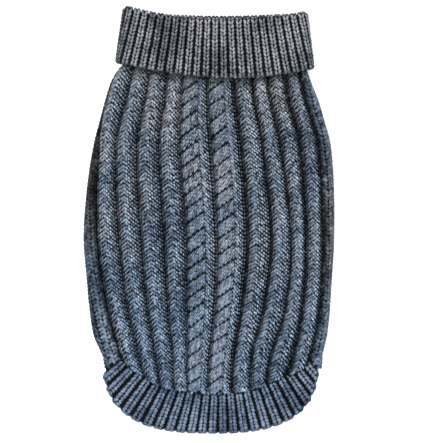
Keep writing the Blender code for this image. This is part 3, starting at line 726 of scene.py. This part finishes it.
def stitch_rows(top, bottom):
    """Heights of the feet of all rows between two heights, with one more to fill what is left."""
    rows = np.arange(math.floor(top / ROW), math.ceil(bottom / ROW) - 1, -1) * ROW
    return np.append(rows, bottom) if rows[-1] - bottom > SHORTEST_ROW else rows


def leg_column(yarn, line, foot_share, tip_share, climb, rows, **look):
    """A column of legs right of a line of the back, one leg a row."""
    foot = rows + jitter(FOOT_JITTER, len(rows))
    tip = foot + climb + jitter(TIP_JITTER, len(rows))
    yarn.lay(back_surface,
             (between(line, foot_share, foot) + jitter(SIDE_JITTER, len(rows)), foot),
             (between(line, tip_share, tip) + jitter(SIDE_JITTER, len(rows)), tip),
             shade=back_shade, **look)


def rows_of(line, share, top=NECK_SEAM - 3.0):
    """Rows of a column of the back, from under the collar to the tail seam."""
    rear = rear_end(np.array([line + share]))[0]
    return stitch_rows(top, rear + EDGE_CLEARANCE)


def lay_ridge(yarn, line, legs, purl_shares):
    """The columns of legs of a ridge, and the purl bumps in the groove on its right."""
    for foot, tip, climb, lower, width, soft, tint in legs:
        rows = rows_of(line, foot)
        lowest = rows[-1]
        rows = rows - lower * ROW
        rows = np.append(rows[rows > lowest + SHORTEST_ROW], lowest)
        leg_column(yarn, line, foot, tip, climb, rows, width=width, soft=soft, tint=tint)
    rows = rows_of(line, 0.95) + ROW / 2
    first, last = (between(line, share, rows) for share in purl_shares)
    yarn.lay(back_surface, (first, rows), (last, rows + 0.3), width=1.9, shade=back_shade)


left_yarn, right_yarn = Yarn(), Yarn()
for index in range(len(GROOVES) - 1):
    if index not in CABLES:
        side_yarn = left_yarn if index < CABLES[0] else right_yarn
        lay_ridge(side_yarn, index + FIRST_GROOVE, ROPE_LEGS, (0.91, 1.01))
back_pieces = [left_yarn.finish("back_stitches_left"),
               right_yarn.finish("back_stitches_right")]

# %% [markdown]
# ## Cables
# A cable is made by letting two stitches step over two others, again and again. What shows is a
# chain of slanted strands, with a dark line where the next one dives under it: a real dip, darkened
# further by painted shade. Inside a strand the legs stand steeply. Right of the strands the ridge
# falls away in plain columns.

# %% Stitches of the cables
STRAND_COLUMNS = 9
STRAND_PHASES = (        # of the legs' middles between two crossings, in even and odd columns
    (0.17, 0.39, 0.61, 0.83),
    (0.28, 0.5, 0.72, 0.9),
)
STRAND_LEG_LENGTH = 0.28  # as a share of the pitch
STRAND_LEG_LEAN = 0.5     # how far a leg runs to the right for each length that it climbs
STRAND_LEG_WIDTH = 1.6
CABLE_LEGS = (
    # foot and tip as shares of the cable's width, climb, rows lower, width, softness, tint
    (0.73, 0.61, 3, 0.2, None, 0, 0.45),
    (0.77, 0.70, 2.1, 0.7, 1.6, -0.05, 0.45),
    (0.84, 0.78, 1.9, 0.2, 1.4, -0.1, 0.5),
    (0.91, 0.85, 1.9, 0.7, 1.4, -0.1, 0.5),
)


def cable(yarn, line):
    """The strands of a cable right of a line of the back, and the plain columns beside them."""
    rear = rear_end(np.array([line + 0.3]))[0]
    crossings = np.arange(math.floor(rear / STRAND_PITCH) - 2,
                          math.ceil(NECK_SEAM / STRAND_PITCH) + 2)
    for column, phase in [(column, phase) for column in range(STRAND_COLUMNS)
                          for phase in STRAND_PHASES[column % 2]]:
        share = STRAND_END * (column + 0.45) / STRAND_COLUMNS
        middle = (crossings + phase) * STRAND_PITCH
        for _ in range(6):
            across_cable = share * (back_line(line + 1, middle) - back_line(line, middle))
            ahead = crossings + phase - strand_phase(across_cable, middle)
            middle = middle + ahead * STRAND_PITCH
        kept = (middle < NECK_SEAM - 4.0) & (middle > rear + 0.5)
        middle = middle[kept] + jitter(0.35, int(kept.sum()))
        centre = between(line, share, middle) + jitter(0.15, len(middle))
        climb = STRAND_PITCH * STRAND_LEG_LENGTH * HAND.uniform(0.85, 1.15, len(middle)) / 2
        lean = climb * (STRAND_LEG_LEAN + jitter(0.1, len(middle)))
        yarn.lay(back_surface, (centre - lean, middle - climb), (centre + lean, middle + climb),
                 width=STRAND_LEG_WIDTH, shade=back_shade, steps=(0.9, 0.9), bow=0.04, soft=0.1,
                 tint=0.62)
    lay_ridge(yarn, line, CABLE_LEGS, (0.94, 1.01))


cable_yarn = Yarn()
for index in CABLES:
    cable(cable_yarn, index + FIRST_GROOVE)
back_pieces.append(cable_yarn.finish("cable_stitches"))

# %% [markdown]
# ## Rolled edges and underside of the back
# Past the last groove the cloth turns over its edge and runs flat under the garment to the belly
# seam. Its columns are plain stocking stitch.

# %% Stitches of edges and underside
ROLL_COLUMNS = 5
UNDER_COLUMNS = 7
EDGE_TINTS = (0.52, 0.4)      # the left edge is a warmer grey
GREY_PARTS = ((-12.0, 200.0), (-50.0, 22.0))   # heights between which the edges are grey, not blue
# how far the grey rows blur into the blue ones, up and down the edge
GREY_BLEND = 14.0
EDGE_PROUD = (0.5, 0.9)       # by how much the edges' stitches stand proud, left and right


def plain_columns(yarn, line, count, grey_yarn=None, grey_part=None, proud=0.0, **look):
    """Columns of stocking stitch right of a line of the back. Some rows may be of a grey yarn, and
    columns that don't face down may stand proud."""
    for column in range(count):
        left, middle, right = ((column + part) / count for part in (0.02, 0.5, 0.98))
        rows = rows_of(line, middle, NECK_SEAM - 6.0)
        look["raised"] = 0.0 if faces_down(between(line, middle, 0.0), 0.0) else proud
        is_grey = np.zeros(len(rows), bool)
        if grey_yarn:
            place = rows + jitter(GREY_BLEND, len(rows))
            is_grey = (place > grey_part[0]) & (place < grey_part[1])
        for row_yarn, kept in ((grey_yarn, is_grey), (yarn, ~is_grey)):
            for side in (left, right) if kept.any() else ():
                peak = mix(middle, side, -0.1)      # a little past the middle
                leg_column(row_yarn, line, side, peak, PLAIN_CLIMB, rows[kept], **look)


grey_yarn, under_yarn = Yarn(), Yarn()
for side, line in ((0, LEFT_ROLL_END), (1, RIGHT_ROLL_END - 1)):
    plain_columns(under_yarn, line, ROLL_COLUMNS, grey_yarn, GREY_PARTS[side],
                  proud=EDGE_PROUD[side], tint=EDGE_TINTS[side], soft=0.3, width=2.3)
for line in (LEFT_SEAM, RIGHT_ROLL_END):
    plain_columns(under_yarn, line, UNDER_COLUMNS)
back_pieces += [grey_yarn.finish("edge_stitches", edge_yarn),
                under_yarn.finish("back_underside_stitches")]

# %% [markdown]
# The inside of the back shows through the leg openings and at the tail. Stocking stitch has rows
# of purl bumps on its reverse, so these are laid there, and nowhere else.

# %% Purl bumps inside
PURL_PITCH = 3.6
PURL_HEIGHT = 0.8
SEEN_INSIDE = (           # left and right, low and high
    (-62, 68, -118, -84),
    (-50, -20, 28, 92),
    (20, 50, 28, 92),
)


def back_reverse(across, along, depth):
    return back_surface(across, along, BACK_REVERSE_DEPTH + PURL_HEIGHT - depth)


inside_yarn = Yarn()
for left, right, low, high in SEEN_INSIDE:
    across, along = np.meshgrid(np.arange(left, right, PURL_PITCH), np.arange(high, low, -ROW))
    across = across + PURL_PITCH / 2 * (np.round(along / ROW) % 2)
    kept = along > tail_seam(across) + 1.5
    across, along = across[kept], along[kept]
    ends = jitter(0.3, (2, len(across)))
    # The bumps inside are laid in painted shade.
    inside_yarn.lay(back_reverse, (across - 1.9, along + ends[0]), (across + 1.9, along + ends[1]),
                    width=2.0, shade=0.35)
back_pieces.append(inside_yarn.finish("back_inside_stitches"))

# %% [markdown]
# ## The belly
# The belly is a plain panel of stocking stitch with a leg opening cut into either side. It lies
# on the surface, so its stitches face down.

# %% Belly
LEG_TOP = 86.0
LEG_BOTTOM = 34.0
LEG_DEPTH = 21.0
BELLY_COLUMNS = 22
BELLY_RIBS = 21


def belly_line(column, along, count):
    """Plan position of a column between the two under seams."""
    return mix(under_seam(along, 0) + SEAM_GAP, under_seam(along, 1) - SEAM_GAP, column / count)


def opening(along):
    """How far a leg opening reaches into the belly."""
    share = np.clip((along - LEG_BOTTOM) / (LEG_TOP - LEG_BOTTOM), 0, 1)
    return LEG_DEPTH * np.sin(math.pi * share) ** 0.55


def belly_surface(x, along, depth):
    """Points of the belly above its underside."""
    x, along = both(x, along)
    return np.stack([x, along, neck_lift(along) + depth], -1)


def belly_shell(name, heights, slot, material):
    """Flat shell between the under seams, cut out at the leg openings."""
    along = heights[:, None]
    x = mix(belly_line(0, along, 1) + opening(along), belly_line(1, along, 1) - opening(along),
            np.linspace(0.0, 1.0, 25))
    return closed_shell(name, belly_surface(x, along, SHELL_DEPTH),
                        belly_surface(x, along, SHELL_DEPTH + SHELL_THICKNESS), material, slot)


def opening_heights(count):
    """Heights along a leg opening, closest together at its two ends."""
    return mix(LEG_TOP, LEG_BOTTOM, 0.5 - 0.5 * np.cos(np.linspace(0.0, math.pi, count)))


belly_heights = np.concatenate([np.linspace(NECK_SEAM - SEAM_GAP, 88.0, 6), opening_heights(25),
                                np.linspace(30.0, BELLY_SEAM + SEAM_GAP, 8)])
belly_knit = belly_shell("belly_knit", belly_heights, "body_knit", body_yarn)
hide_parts("belly_panel")

belly_yarn = Yarn()
rows = stitch_rows(NECK_SEAM - 4.0, BELLY_SEAM + 0.1)
for column in range(BELLY_COLUMNS):
    for side in (0.04, 0.96):
        foot = rows + jitter(0.14, len(rows))
        start = belly_line(column + side, foot, BELLY_COLUMNS)
        tip = belly_line(column + mix(0.5, side, 0.04), foot + PLAIN_CLIMB, BELLY_COLUMNS)
        edge = opening(foot + 1.5) + 1.2
        inside = (np.minimum(start, tip) > belly_line(0, foot, 1) + edge)
        inside &= np.maximum(start, tip) < belly_line(1, foot, 1) - edge
        inside |= opening(foot + 1.5) < 0.1
        belly_yarn.lay(belly_surface, (start[inside], foot[inside]),
                       (tip[inside], foot[inside] + PLAIN_CLIMB))
belly_stitches = belly_yarn.finish("belly_stitches")

# %% [markdown]
# The leg openings are finished with a chain: a row of loops, each lying over the end of the last.

# %% Chain round the leg openings
CHAIN_STEP = 2.38         # a link is longer than this, because it overlaps the next one


def chain(yarn, surface, firsts, seconds, width=2.2, **look):
    """A chain of links along a line of places."""
    yarn.lay(surface, (firsts[:-1], seconds[:-1]), (firsts[1:], seconds[1:]), width=width, **look)


def evenly(points, step):
    """Evenly spaced places along a polyline in the plan."""
    lengths = lengths_along(points)
    places = np.linspace(0.0, lengths[-1], int(round(lengths[-1] / step)) + 1)
    return [np.interp(places, lengths, points[:, axis]) for axis in (0, 1)]


edging_yarn = Yarn()
heights = opening_heights(90)
for side, sign in SIDES:
    edge_x = under_seam(heights, side) - sign * (SEAM_GAP + opening(heights) + 0.9)
    chain(edging_yarn, belly_surface, *evenly(np.stack([edge_x, heights], 1), CHAIN_STEP))
leg_edging = edging_yarn.finish("leg_opening_edging")

# %% [markdown]
# ## Rib under the belly
# One by one rib: a knit column, then a purl column that pulls in behind it.

# %% Belly rib
belly_rib_knit = belly_shell("belly_rib_knit", np.linspace(BELLY_SEAM, BELLY_RIM, 6), "rear_rib",
                             hem_yarn)
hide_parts("belly_rib")
belly_rib_yarn = Yarn()
rows = np.arange(BELLY_RIM + 0.6, BELLY_SEAM - 0.6, ROW)
for rib in range(BELLY_RIBS):
    for side in (0.12, 0.88):
        foot = rows + jitter(0.1, len(rows))
        tip = np.minimum(foot + 2.9, BELLY_SEAM + 1.2)
        belly_rib_yarn.lay(belly_surface,
                           (belly_line(rib + side, foot, BELLY_RIBS), foot),
                           (belly_line(rib + mix(0.5, side, 0.3), tip, BELLY_RIBS), tip), width=2.0)
belly_rib_stitches = belly_rib_yarn.finish("belly_rib_stitches", hem_yarn, "rear_rib")

# %% [markdown]
# ## The tail rib
# The rear edge of the back ends in a fan of ribs. They are picked up along the curved seam and
# spread outwards to the rim, where each one ends in its own small scallop.

# %% Form of the tail rib
TAIL_RIBS = 23
TAIL_RIB_RISE = 1.9
TAIL_FAN_SPREAD = 0.02    # how much wider the ribs are towards both corners
TAIL_SCALLOP = 0.9        # how far the rim sticks out at a rib's middle
TAIL_MIDDLE = 2.0         # the rim's lowest place is this far across
TAIL_DEPTH = 52.2         # and this far below the ends of the sides
TAIL_SIDES = (
    # half width, roundness, where the rim starts, where the first or last rib leaves the seam
    (72.6, 2.7, (-69.9, -102.5), -60.5),
    (72.0, 2.8, (73.5, -100.8), 69.5),
)


def tail_line(points):
    """The points of a polyline, and the share of its length at each of them."""
    points = np.asarray(points, float)
    lengths = lengths_along(points)
    return lengths / lengths[-1], points


def tail_edge():
    """The rim of the fan, from its left end to its right end."""
    points = []
    for angle in math.pi * (1.0 + np.arange(1, 240) / 240):
        across = math.cos(angle)
        half_width, roundness, rim, _ = TAIL_SIDES[across >= 0.0]
        x = TAIL_MIDDLE + half_width * math.copysign(abs(across) ** (2.0 / roundness), across)
        y = RIM - TAIL_DEPTH * abs(math.sin(angle)) ** (2.0 / roundness)
        if y < rim[1] - 1.5:
            points.append((x, y))
    return tail_line([TAIL_SIDES[0][2]] + points + [TAIL_SIDES[1][2]])


seam_places = np.linspace(TAIL_SIDES[0][3], TAIL_SIDES[1][3], 241)
TAIL_SEAM_LINE = tail_line(np.stack([seam_places, tail_seam(seam_places) - 2.0 * SEAM_GAP], 1))
TAIL_EDGE_LINE = tail_edge()
TAIL_HEIGHT_PLACES = (0.0, 0.1, 0.4, 0.7, 0.93, 1.0)     # shares of a rib's length
TAIL_HEIGHT_SHARES = (0.55, 1.0, 1.0, 1.0, 0.8, 0.1)     # and of its height there


def rib_roll(share):
    """Cross-section of one rib of 1x1 rib knit, with a narrow groove."""
    return np.maximum(1.0 - np.abs(2.0 * (share % 1.0) - 1.0) ** 3.0, 0.0) ** 0.6


def fan_ends(rib):
    """Seam and rim ends of the fan at a rib number, which may lie between two."""
    place = np.clip(rib / TAIL_RIBS, 0, 1)
    place = place + TAIL_FAN_SPREAD * np.sin(2.0 * math.pi * place)
    return [np.stack([np.interp(place, lengths, points[:, axis]) for axis in (0, 1)], -1)
            for lengths, points in (TAIL_SEAM_LINE, TAIL_EDGE_LINE)]


def fan_plan(rib, travel):
    """Plan position and share of the rib's length, travel in mm from the seam."""
    seam, edge = fan_ends(rib)
    length = np.linalg.norm(edge - seam, axis=-1)
    end = 1.0 + TAIL_SCALLOP * (rib_roll(rib) - 0.5) / length
    share = np.clip(travel / length, -0.12, 1.0)
    return mix(seam, edge, (share * end)[..., None]), share


def fan_surface(rib, travel, depth):
    rib, travel = both(rib, travel)
    plan, share = fan_plan(rib, travel)
    height = np.interp(share, TAIL_HEIGHT_PLACES, TAIL_HEIGHT_SHARES)
    z = top_layer_floor(plan[..., 1]) + RIB_WALL * mix(0.8, 1.0, height)
    z = z + TAIL_RIB_RISE * rib_roll(rib) * height - depth
    return np.stack([plan[..., 0], plan[..., 1], z], -1)


def fan_underside(rib, travel, depth):
    rib, travel = both(rib, travel)
    plan, _ = fan_plan(rib, travel)
    return np.stack([plan[..., 0], plan[..., 1], top_layer_floor(plan[..., 1]) + depth], -1)


def fan_length(rib):
    seam, edge = fan_ends(np.asarray(rib, float))
    return np.linalg.norm(edge - seam, axis=-1)


print("tail rib, mm long in the middle:", round(float(fan_length(11.5)), 1))

# %% Shell and stitches of the tail rib
rib_places = np.linspace(0.0, TAIL_RIBS, TAIL_RIBS * 8 + 1)
travels = np.linspace(-0.02, 1.0, 14)[:, None] * fan_length(rib_places)[None, :]
tail_outer = fan_surface(rib_places[None, :], travels, SHELL_DEPTH)
tail_inner = fan_underside(rib_places[None, :], travels, 0.9)
tail_inner[..., 2] = np.minimum(tail_inner[..., 2], tail_outer[..., 2] - 0.15)
tail_rib_knit = closed_shell("tail_rib_knit", tail_outer, tail_inner, hem_yarn, "rear_rib",
                             GAP_PAINTED_LIGHT)
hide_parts("tail_rib")

FAN_ROW = 2.1
HEM_LEG_WIDTHS = (2.1, 2.75)      # at the seam and at the rim, where the ribs are wider
RIB_GROOVE = 0.15                 # half its width, as a share of a rib
RIB_STEPS = (0.08, 0.6)           # in ribs and mm, to find which way a rib's surface faces
HEM_RIM_LIGHT = 0.5


def rib_shade(rib, _):
    """Painted shade in the narrow groove between two ribs."""
    return 1.0 - ease(np.abs((rib + 0.5) % 1.0 - 0.5) / RIB_GROOVE)


def hem_shade(rib, travel):
    """Painted shade in the grooves and at the rim."""
    light = 1.0 - rib_shade(rib, travel)
    return 1.0 - light * mix(HEM_RIM_LIGHT, 1.0, ease((fan_length(rib) - travel) / 3.0))


def rib_column(yarn, surface, rib, starts, climb, sides=(0.1, 0.9), spread=0.12, **look):
    """Both legs of a rib's stitches. They come closest in the rib's middle, by spread."""
    for side in sides:
        start = starts + jitter(0.25, len(starts))
        yarn.lay(surface,
                 (rib + mix(0.5, side, spread) + jitter(0.02, len(starts)), start),
                 (rib + side + jitter(0.025, len(starts)), start + climb),
                 steps=RIB_STEPS, **look)


tail_yarn, tail_under_yarn = Yarn(), Yarn()
for rib in range(TAIL_RIBS):
    length = float(fan_length(rib + 0.5))
    starts = np.linspace(-2.2, length - 2.6, int(round((length + 0.4) / FAN_ROW)))
    rib_column(tail_yarn, fan_surface, rib, starts, 2.9, (0.19, 0.81), 0.25, uneven=0.18,
               width=np.linspace(*HEM_LEG_WIDTHS, len(starts)), soft=0.1, shade=hem_shade)
    rib_column(tail_under_yarn, fan_underside, rib, starts, 2.5, (0.195, 0.805), 0.35, uneven=0.14,
               width=2.4, soft=0.1, shade=hem_shade)
rim_ribs = np.arange(3 * TAIL_RIBS + 1) / 3
# A chain along the rim, in painted shade.
chain(tail_yarn, fan_surface, rim_ribs, fan_length(rim_ribs) - 0.9, 1.9, steps=RIB_STEPS,
      shade=0.5)
tail_pieces = [tail_yarn.finish("tail_rib_stitches", hem_yarn, "rear_rib"),
               tail_under_yarn.finish("tail_rib_underside_stitches", hem_yarn, "rear_rib")]

# %% [markdown]
# ## The collar
# The collar is a tube of rib, turned down over itself. A place on it is given by the number of
# the rib round the tube and by how far the cloth has run: up the turn-down from its free edge,
# round the top fold and down the inside to the neck seam.

# %% Form of the collar
COLLAR_RIBS = 25
COLLAR_RIB_RISE = 1.7
COLLAR_LEAN = 0.7         # by how many ribs they lean outwards at the sides, down to the free edge
COLLAR_SCALLOP = 0.7      # how far the free edge sticks out at a rib's middle
COLLAR_HEIGHT_AT_FOLD = 10.8
COLLAR_HEIGHT_AT_EDGE = 15.6
COLLAR_SIDES_AT_FOLD = (-57.0, 66.7)
COLLAR_SIDES_AT_NECK = (-54.6, 62.4)
COLLAR_CORNER = 0.036     # share of the way round that a quarter of a side's curve takes
COLLAR_SIDE_ROUND = 5.4   # radius of that curve across
TURN_DOWN = 38.0          # nominal length of the turn-down
FOLD_BEND = RIB_WALL + SEAM_GAP / 2
BEND_LENGTH = math.pi * FOLD_BEND
INSIDE_LENGTH = 26.0


def fold_height(x, upper_share):
    """Where the collar folds over, in its lower and its upper layer."""
    return mix(sagging(x, 141.0, 9.0, 137.4, 139.9, COLLAR_SIDES_AT_FOLD),
               sagging(x, 143.4, 9.0, 133.9, 139.0, COLLAR_SIDES_AT_FOLD), upper_share)


def edge_height(x, upper_share):
    """Where the collar's free edge lies, underneath and on top."""
    return mix(sagging(x, 105.0, 18.0, 100.2, 101.6, COLLAR_SIDES_AT_EDGE),
               collar_edge(x), upper_share)


def loop_place(share, side_left, side_right, high, depth):
    """A place on a flattened loop, share 0 at the left side, 0.25 on top, 0.5 at the right."""
    round_z = high / 2 - depth
    round_x = COLLAR_SIDE_ROUND - depth
    left, right = side_left + COLLAR_SIDE_ROUND, side_right - COLLAR_SIDE_ROUND
    half = share % 0.5
    flat = (half - COLLAR_CORNER) / (0.5 - 2 * COLLAR_CORNER)
    x = mix(left, right, np.clip(flat, 0, 1))
    angle = np.where(flat < 0.0, math.pi - math.pi / 2 * half / COLLAR_CORNER,
                     np.where(flat > 1.0, math.pi / 2 * (0.5 - half) / COLLAR_CORNER, math.pi / 2))
    out_x, out_z = np.cos(angle), np.sin(angle)
    is_low = share % 1.0 >= 0.5
    x = np.where(is_low, left + right - x, x)
    turned = np.where(is_low, -1.0, 1.0)
    out_x, out_z = out_x * turned, out_z * turned
    return x + out_x * round_x, high / 2 + out_z * round_z, out_x, out_z


def collar_surface(rib, travel, depth):
    """Points of the collar, rib 0 to 25 over the top and 25 to 50 underneath."""
    rib, travel = both(rib, travel)
    bend_angle = np.clip((travel - TURN_DOWN) / FOLD_BEND, 0.0, math.pi)
    inside = np.clip((travel - TURN_DOWN - BEND_LENGTH) / INSIDE_LENGTH, 0, 1)
    reach = np.clip(1.0 - travel / TURN_DOWN, 0, 1)
    share = rib / (2 * COLLAR_RIBS)
    share = share - COLLAR_LEAN * reach * np.cos(2.0 * math.pi * share) / (2 * COLLAR_RIBS)
    beside = RIB_WALL + SEAM_GAP
    ends = [np.where(inside > 0.0,
                     mix(COLLAR_SIDES_AT_FOLD[k], COLLAR_SIDES_AT_NECK[k] + sign * beside, inside),
                     mix(COLLAR_SIDES_AT_FOLD[k], COLLAR_SIDES_AT_EDGE[k], reach))
            - sign * COLLAR_RIB_RISE / 2 for k, sign in SIDES]
    high = mix(COLLAR_HEIGHT_AT_FOLD, COLLAR_HEIGHT_AT_EDGE, reach * reach)
    radius = FOLD_BEND - depth
    x, z, out_x, out_z = loop_place(share, *ends, high, FOLD_BEND - radius * np.cos(bend_angle))
    upper_share = ease((out_z + 1.0) / 2.0)
    ribs = rib_roll(rib) * np.interp(travel, (0.0, 2.0, 9.0), (0.35, 0.95, 1.0))
    ribs = ribs * (1.0 - 0.4 * np.sin(bend_angle)) * np.where(inside > 0.0, 0.0, 1.0)
    rise = COLLAR_RIB_RISE * ribs * ease((out_z + 0.95) / 0.5)
    fold = fold_height(x, upper_share) - FOLD_BEND
    along = np.where(inside > 0.0, mix(fold, NECK_SEAM, inside),
                     mix(fold, edge_height(x, upper_share), reach))
    along = along + (radius + rise) * np.sin(bend_angle)
    along = along - COLLAR_SCALLOP * (rib_roll(rib) - 0.7) * reach ** 8
    flat_rise = rise * np.cos(bend_angle)
    return np.stack([x + out_x * flat_rise, along, np.maximum(z + out_z * flat_rise, 0.0)], -1)


print("collar across its fold, mm:", round(COLLAR_SIDES_AT_FOLD[1] - COLLAR_SIDES_AT_FOLD[0], 1))

# %% [markdown]
# The tube closes on itself, so its shell is a ring: rib 50 is rib 0 again.

# %% Shell and stitches of the collar
collar_ribs = np.arange(2 * COLLAR_RIBS * 6) / 6
collar_travels = np.concatenate([np.linspace(0.0, TURN_DOWN, 18)[:-1],
                                 TURN_DOWN + BEND_LENGTH * np.linspace(0.0, 1.0, 9),
                                 TURN_DOWN + BEND_LENGTH + np.linspace(2.0, INSIDE_LENGTH, 7)])
collar_layers = [collar_surface(collar_ribs[None, :], collar_travels[:, None], depth)
                 for depth in (SHELL_DEPTH, SHELL_DEPTH + SHELL_THICKNESS - 0.1)]
collar_knit = closed_shell("collar_knit", *collar_layers, collar_yarn, "collar_rib", ring=True)
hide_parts("collar")

# Painted light: dimmer on the far layer where it shows past the fold, and on the collar's left
# side.
FAR_LAYER_LIGHT = 0.35
LEFT_SIDE_LIGHT = 0.65
COLLAR_TINT = 0.6
WARM_LIGHT_TINT = 0.2
WARM_LIT_RIBS = (0, 2 * COLLAR_RIBS - 1)    # painted warm light, along the collar's left side


def collar_shade(rib, travel):
    """Painted shade in the grooves, at the free edge, on the left side, and on the far layer where
    it shows past the fold.
    """
    light = 1.0 - rib_shade(rib, travel)
    light = light * mix(0.45, 1.0, ease(travel / 3.0))
    far_layer = np.where(rib > COLLAR_RIBS, ease((travel - TURN_DOWN + 6.0) / 4.0), 0.0)
    from_left = np.minimum(rib, 2 * COLLAR_RIBS - rib)
    light = light * mix(LEFT_SIDE_LIGHT, 1.0, ease(from_left / 4.0))
    return 1.0 - light * mix(1.0, FAR_LAYER_LIGHT, far_layer)


collar_stitch_yarn, collar_inside_yarn = Yarn(), Yarn()
turn_starts = np.arange(0.4, TURN_DOWN - 1.0, ROW)
inside_starts = np.arange(TURN_DOWN - 1.0, TURN_DOWN + BEND_LENGTH + INSIDE_LENGTH - 5.0, ROW)
for rib in range(2 * COLLAR_RIBS):
    tint = WARM_LIGHT_TINT if rib in WARM_LIT_RIBS else COLLAR_TINT
    rib_column(collar_stitch_yarn, collar_surface, rib, turn_starts, 3.1, (0.2, 0.8), 0.24,
               width=1.9, soft=-0.1, shade=collar_shade, tint=tint, uneven=0.15)
    rib_column(collar_inside_yarn, collar_surface, rib, inside_starts, 3.1, shade=collar_shade,
               tint=tint)
edge_ribs = np.arange(4 * COLLAR_RIBS + 1) / 2
chain(collar_stitch_yarn, collar_surface, edge_ribs, np.full(len(edge_ribs), 0.8), 1.8,
      steps=RIB_STEPS, shade=collar_shade)
collar_pieces = [collar_stitch_yarn.finish("collar_stitches", collar_yarn, "collar_rib"),
                 collar_inside_yarn.finish("collar_inside_stitches", collar_yarn, "collar_rib")]

# %% [markdown]
# ## Floor, light and camera
# A large soft panel hangs almost straight above, a little to the upper left, and the room's own
# light fills in the rest. The camera looks straight down on the sweater.

# %% Floor
bpy.ops.object.select_all(action="DESELECT")
bpy.ops.mesh.primitive_plane_add(size=6.0, location=(0.0, 0.0, -0.0002))
floor = bpy.context.object
floor.name = "floor"
paper, _ = new_material("white_paper", {"Base Color": linear("#f6f6f6"), "Roughness": 0.9,
                                        "Emission Color": linear("#ffffff"),
                                        "Emission Strength": 0.45})
floor.data.materials.append(paper)

# %% Light
scene = bpy.context.scene
scene.view_settings.view_transform = "Standard"
world = bpy.data.worlds.new("room")
scene.world = world
world.use_nodes = True
room_light = world.node_tree.nodes["Background"].inputs
room_light["Color"].default_value = (1.0, 1.0, 1.0, 1.0)
room_light["Strength"].default_value = 0.5

panel_light = bpy.data.lights.new("overhead_panel", "AREA")
panel_light.size = 1.8
panel_light.energy = 24.0
panel = bpy.data.objects.new("overhead_panel", panel_light)
scene.collection.objects.link(panel)
panel.location = (-0.25, 0.2, 1.35)
panel.rotation_mode = "QUATERNION"
panel.rotation_quaternion = (-panel.location).to_track_quat("-Z", "Y")

# %% Camera
VIEW_WIDTH = 295.3      # of the plane at half the sweater's height, in millimetres
VIEW_MIDDLE = (8.5, -0.9, 8.0)
FOCAL = 120.0
SENSOR = 36.0
camera_data = bpy.data.cameras.new("camera")
camera_data.lens = FOCAL
camera_data.sensor_width = SENSOR
camera = bpy.data.objects.new("camera", camera_data)
scene.collection.objects.link(camera)
distance = VIEW_WIDTH * FOCAL / SENSOR
camera.location = [value * MM for value in VIEW_MIDDLE[:2] + (distance + VIEW_MIDDLE[2],)]
scene.camera = camera

# %% [markdown]
# ## Flat sizes of the cloth
# Each panel is knitted to a flat size, its cut. It is worked out here from the same lines that
# shape the panel and printed, in millimetres and square centimetres: the greatest width, the
# length, and the area because none is a plain rectangle. The collar is a tube, so its width is the
# way all round.

# %% Cuts
def strip_area(places, widths):
    """Area between a line of places and the widths across it."""
    return float(np.sum(np.abs(np.diff(places)) * (widths[1:] + widths[:-1]) / 2))


def declare(piece, width, length, area):
    """Prints a piece's cut, given in millimetres."""
    print(f"{piece.name}: cut {width:.0f} x {length:.0f} mm, {area / 100:.0f} square cm")


heights = np.linspace(NECK_SEAM, RIM, 60)
back_widths = back_line(RIGHT_SEAM, heights) - back_line(LEFT_SEAM, heights)
rear_x = np.linspace(TAIL_SEAM_ACROSS[0], TAIL_SEAM_ACROSS[-1], 60)
back_area = strip_area(heights, back_widths) + strip_area(rear_x, RIM - tail_seam(rear_x))
declare(back_knit, back_widths.max(), NECK_SEAM - tail_seam(rear_x).min(), back_area)

heights = np.linspace(NECK_SEAM, BELLY_SEAM, 60)
widths = belly_line(1, heights, 1) - belly_line(0, heights, 1)
declare(belly_knit, widths.max(), NECK_SEAM - BELLY_SEAM,
        strip_area(heights, widths - 2 * opening(heights)))

heights = np.array([BELLY_SEAM, BELLY_RIM])
widths = belly_line(1, heights, 1) - belly_line(0, heights, 1)
declare(belly_rib_knit, widths.max(), BELLY_SEAM - BELLY_RIM, strip_area(heights, widths))

fan_places = np.arange(TAIL_RIBS + 1.0)
fan_steps = [lengths_along(line) for line in fan_ends(fan_places)]
declare(tail_rib_knit, fan_steps[1][-1], fan_length(fan_places).max(),
        strip_area(sum(fan_steps) / 2, fan_length(fan_places)))

collar_round = 2 * (COLLAR_SIDES_AT_EDGE[1] - COLLAR_SIDES_AT_EDGE[0])
collar_length = TURN_DOWN + BEND_LENGTH + INSIDE_LENGTH
collar_area = collar_round * TURN_DOWN + (collar_length - TURN_DOWN) * 2 * (
    COLLAR_SIDES_AT_NECK[1] - COLLAR_SIDES_AT_NECK[0])
declare(collar_knit, collar_round, collar_length, collar_area)
